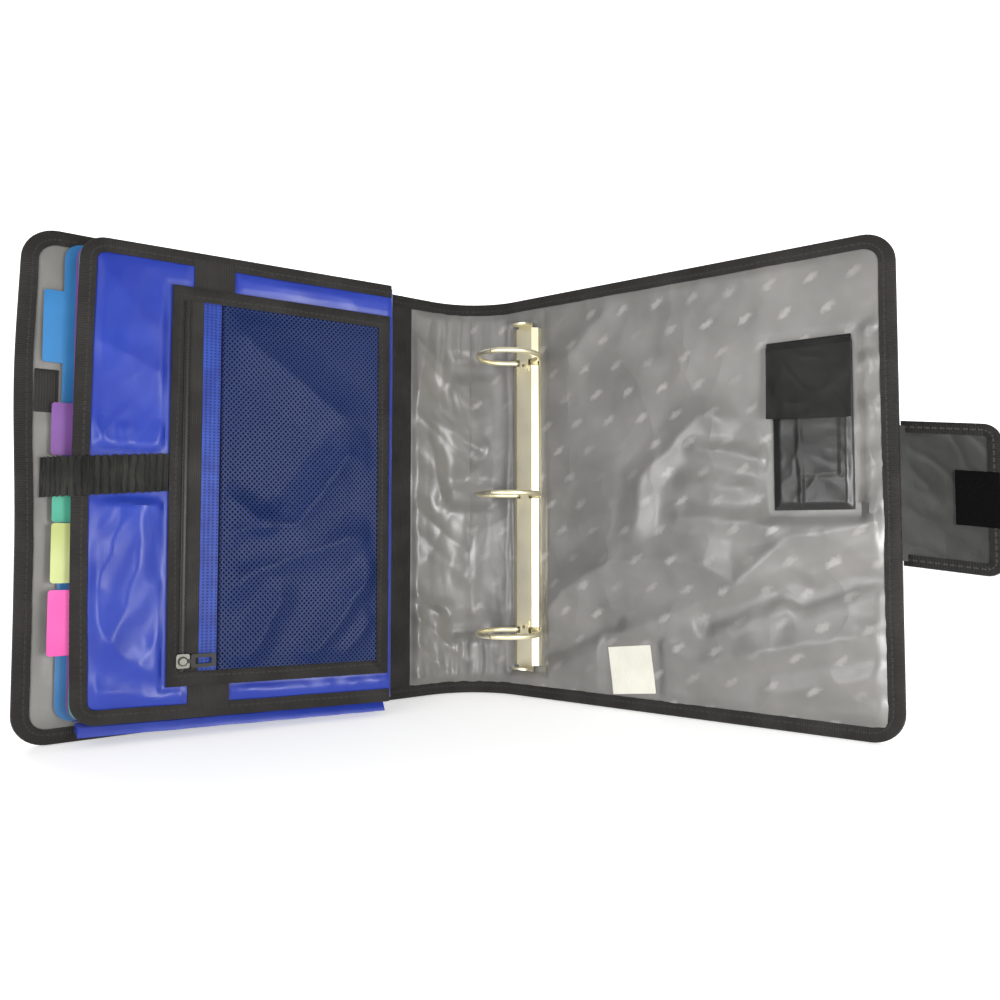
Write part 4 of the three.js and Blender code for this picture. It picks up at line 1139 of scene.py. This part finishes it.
def make_zip_coil():
    """Two rows of coil loops, 1.5 mm apart, that mesh along the zip's line"""
    pitch = 1.5
    sections = (0.5, 0.32, 3.05, 3.85), (-0.9, 0.5, 3.0, 4.1), (-1.6, 0.42, 3.0, 3.7)
    points, faces, uvs = [], [], []
    for z in steps(POUCH_FOOT + 10, POUCH_TOP - 10, pitch):
        for way, rise in ((-1, 0), (1, pitch / 2)):
            first = len(points)
            for s, half, v0, v1 in sections:
                for dz, v in ((-half, v0), (half, v0), (half, v1), (-half, v1)):
                    points.append(on_panel(ZIP_LINE + way * s, v, z + rise + dz))
                    uvs.append((s, z))
            for ring in (first, first + 4):
                for m in range(4):
                    n = (m + 1) % 4
                    faces.append((ring + m, ring + n, ring + 4 + n, ring + 4 + m))
            faces.append(tuple(first + m for m in (3, 2, 1, 0)))
            faces.append(tuple(first + m for m in (8, 9, 10, 11)))
    make_mesh("zip_coil", points, faces, uvs, coil_nylon, "zip_coil", "file_panel", "zip_teeth", sharp=60)


# Elastic, in two lengths: across the panel, then round the file's edge to the cover

def ruffle(run, share, pitch, seed):
    """Gathers that run across the elastic, deepest at its two edges"""
    z = share * ELASTIC_HALF
    phase = run / pitch * 2 * math.pi + 1.4 * wander(run, z, 12, seed) + 0.5 * wander(run, z, 4, seed + 1)
    wave = math.sin(phase) + 0.35 * math.sin(2.3 * phase + 1)
    return wave * (0.75 + 0.45 * abs(wander(run, z, 9, seed + 2)))


def make_gathered(name, columns, at, *body_node):
    """An elastic whose rows run from one edge, share -1, to the other, share 1"""
    faces = partial(at, HALF_ELASTIC), partial(at, -HALF_ELASTIC)
    finish = elastic_webbing, "black_elastic", *body_node
    band = make_sheet(name, columns, steps(-1, 1, 0.1), *faces, *finish)
    for item in band.data.uv_layers[0].data:
        item.uv = (item.uv[0], item.uv[1] * ELASTIC_HALF)
    return band


def make_front_elastic():
    s0, s1 = POUCH_FAR + 0.3, FILE_WIDTH - 0.3

    def at(lift, s, share):
        middle = ELASTIC_MIDDLE - 3 + 0.1 * (FILE_WIDTH - s)
        ends = ease(0, 5, s - s0) * ease(0, 3, s1 - s)
        wave = ruffle(s, share, 4.6, 91)
        half = ELASTIC_HALF + (0.5 * wave * abs(share) ** 3) * ends
        v = 2.3 + 1.15 * wave * (0.65 + 0.5 * abs(share)) * ends + 1.5 * ends * (1 - 0.3 * share * share)
        stray = 0.5 * wander(s, share * ELASTIC_HALF, 6, 94)
        return on_panel(s + stray, max(0.9, v) + lift, middle + share * half)

    columns = steps(s0, s1, 0.45)
    front = make_gathered("elastic_across_panel", columns, at, "file_panel", "elastic_front")


def make_side_elastic():
    edge = FILE_NEAR + FILE_REACH
    start = ((3.4, 2.6), (5.8, 2.0), (8.6, -0.4), (11.8, -4.4), (14.4, -8.8), (16.6, -13.4))
    route = [(out, DEPTH_FAR + v) for out, v in start] + [(18.4, 6), (19.2, 2.2), (19.6, 0.9)]
    route = [(min(edge + out, COVER - 12.2), v) for out, v in route]
    lengths = [0]
    for a, b in zip(route, route[1:]):
        lengths.append(lengths[-1] + math.hypot(b[0] - a[0], b[1] - a[1]))

    def at(lift, run, share):
        k = max(i for i in range(len(route) - 1) if lengths[i] <= run + 1e-9)
        part = (run - lengths[k]) / (lengths[k + 1] - lengths[k])
        u = route[k][0] + (route[k + 1][0] - route[k][0]) * part
        v = route[k][1] + (route[k + 1][1] - route[k][1]) * part
        a, b = route[max(0, k - 1)], route[min(len(route) - 1, k + 2)]
        way = Vector((b[0] - a[0], b[1] - a[1])).normalized()
        ends = ease(0, 3, run) * ease(0, 5, lengths[-1] - run)
        wave = ruffle(run, share, 4.4, 96)
        off = lift + 1.0 * wave * (0.65 + 0.5 * abs(share)) * ends
        half = ELASTIC_HALF + 0.5 * wave * abs(share) ** 3 * ends
        z = ELASTIC_MIDDLE + 0.4 + share * half
        return FRONT.at(u - way.y * off, max(0.35, v + way.x * off), z)

    columns = steps(0, lengths[-1] - 0.01, 0.5)
    side = make_gathered("elastic_round_edge", columns, at, "front_cover", "elastic_side")
    deep = DEPTH_FAR + 1.4
    anchor, keep = FRONT.at(COVER - 20, 0, ELASTIC_MIDDLE), (deep - PRESS) / deep
    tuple(FRONT.normal)
    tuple(anchor)
    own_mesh(side)


def make_cover_patches():
    u0, u1, z0, z1 = COVER - TAPE - 11.1, COVER - TAPE + 2, 207.7, 234.9

    def tab_rise(u, z):
        return 0.9 + 0.7 * ease(0, 2.2, min(u - u0, z - z0, z1 - z)) + 0.12 * wander(u, z, 7, 98)

    columns, rows = steps(u0, u1, 0.9), steps(z0, z1, 0.9)
    lay_sheet(
        "front_finger_tab", FRONT.at, columns, rows, tab_rise, CLEAR, plain_webbing,
        "black_tape", "front_cover", "front_side_tab",
    )
    a0, a1, b0, b1 = COVER - 37, COVER - 3, 123, 183

    def nap(u, z):
        return -5.9 - 0.5 * ease(0, 1.6, min(u - a0, a1 - u, z - b0, b1 - z)) - 0.1 * wander(u, z, 3, 99)

    def under(u, z):
        return -4.6 if u < COVER - 10.5 else -5.6

    columns, rows = steps(a0, a1, 1), steps(b0, b1, 1)
    lay_sheet(
        "loop_patch", FRONT.at, columns, rows, nap, under, loop_nap,
        "hook_and_loop", "front_cover", "front_loop_patch",
    )


# Floor and light

def make_studio():
    """White paper floor and wall, an even white room, five softboxes in front and two behind"""
    floor = [(-12, -12, -0.0002), (12, -12, -0.0002), (12, 12, -0.0002), (-12, 12, -0.0002)]
    wall = [(-12, 6, -0.01), (12, 6, -0.01), (12, 6, 12), (-12, 6, 12)]
    for name, glow, corners in (("studio_floor", 0.45, floor), ("studio_wall", 1, wall)):
        white = {"Base Color": linear("F6F6F5"), "Emission Color": linear("FFFFFF")}
        paper = Finish(name + "_paper", {"Roughness": 0.9, "Emission Strength": glow, **white})
        sheet = bpy.data.meshes.new(name)
        sheet.from_pydata(corners, [], [(0, 1, 2, 3)])
        show(name, sheet, paper.material)
    bpy.context.scene.view_settings.view_transform = "Standard"
    world = bpy.data.worlds.new("studio")
    world.use_nodes = True
    room = world.node_tree.nodes["Background"]
    room.inputs[0].default_value = linear("FCFCFC")
    room.inputs[1].default_value = 0.34
    bpy.context.scene.world = world
    for name, place, aim, size, power in (
        ("left_softbox", (-0.7, -0.95, 0.6), (0, -0.1, 0.16), 0.4, 1.5),
        ("right_softbox", (0.62, -0.85, 0.6), (0, -0.1, 0.16), 0.25, 0.7),
        ("low_right_softbox", (0.34, -0.75, 0.13), (0.2, -0.1, 0.05), 0.2, 3.5),
        ("low_left_softbox", (-0.4, -0.8, 0.13), (-0.2, -0.1, 0.05), 0.2, 1.8),
        ("top_softbox", (0, -0.35, 1.3), (0, -0.1, 0.1), 0.7, 1),
        ("rear_left_softbox", (-1.0, 0.62, 0.55), (-0.1, 0, 0.16), 0.3, 2.6),
        ("rear_right_softbox", (1.0, 0.7, 0.5), (0.1, 0, 0.16), 0.3, 2.6),
    ):
        light = bpy.data.lights.new(name, "AREA")
        light.size = size
        light.energy = power
        lamp = bpy.data.objects.new(name, light)
        lamp.location = place
        lamp.rotation_euler = (Vector(aim) - Vector(place)).to_track_quat("-Z", "Y").to_euler()
        bpy.context.scene.collection.objects.link(lamp)


place_camera()
make_lining(1, "back_lining_cloth", "back_lining", "spine_lining")
make_lining(-1, "front_lining_cloth", "front_lining")
make_outer_cloth(1, "back_outer_nylon", "back_outer_cloth", "spine_outer_cloth")
make_outer_cloth(-1, "front_outer_nylon", "front_outer_cloth")
make_edge_tape(1, "back_edge_tape", "back_tape", "spine_tape_upper", "spine_tape_lower")
make_edge_tape(-1, "front_edge_tape", "front_tape")
make_rings(-1, "inner_ring_wires", "half_rings_inner", "inner_half_rings")
make_rings(1, "outer_ring_wires", "half_rings_outer", "outer_half_rings")
dress_cad_nodes()
make_pocket()
make_label()
make_closing_tab()
make_file()
make_file_panel()
make_seam_tape_and_shadow()
make_straps()
make_pouch()
make_net()
make_zip_coil()
make_front_elastic()
make_side_elastic()
make_cover_patches()
make_studio()
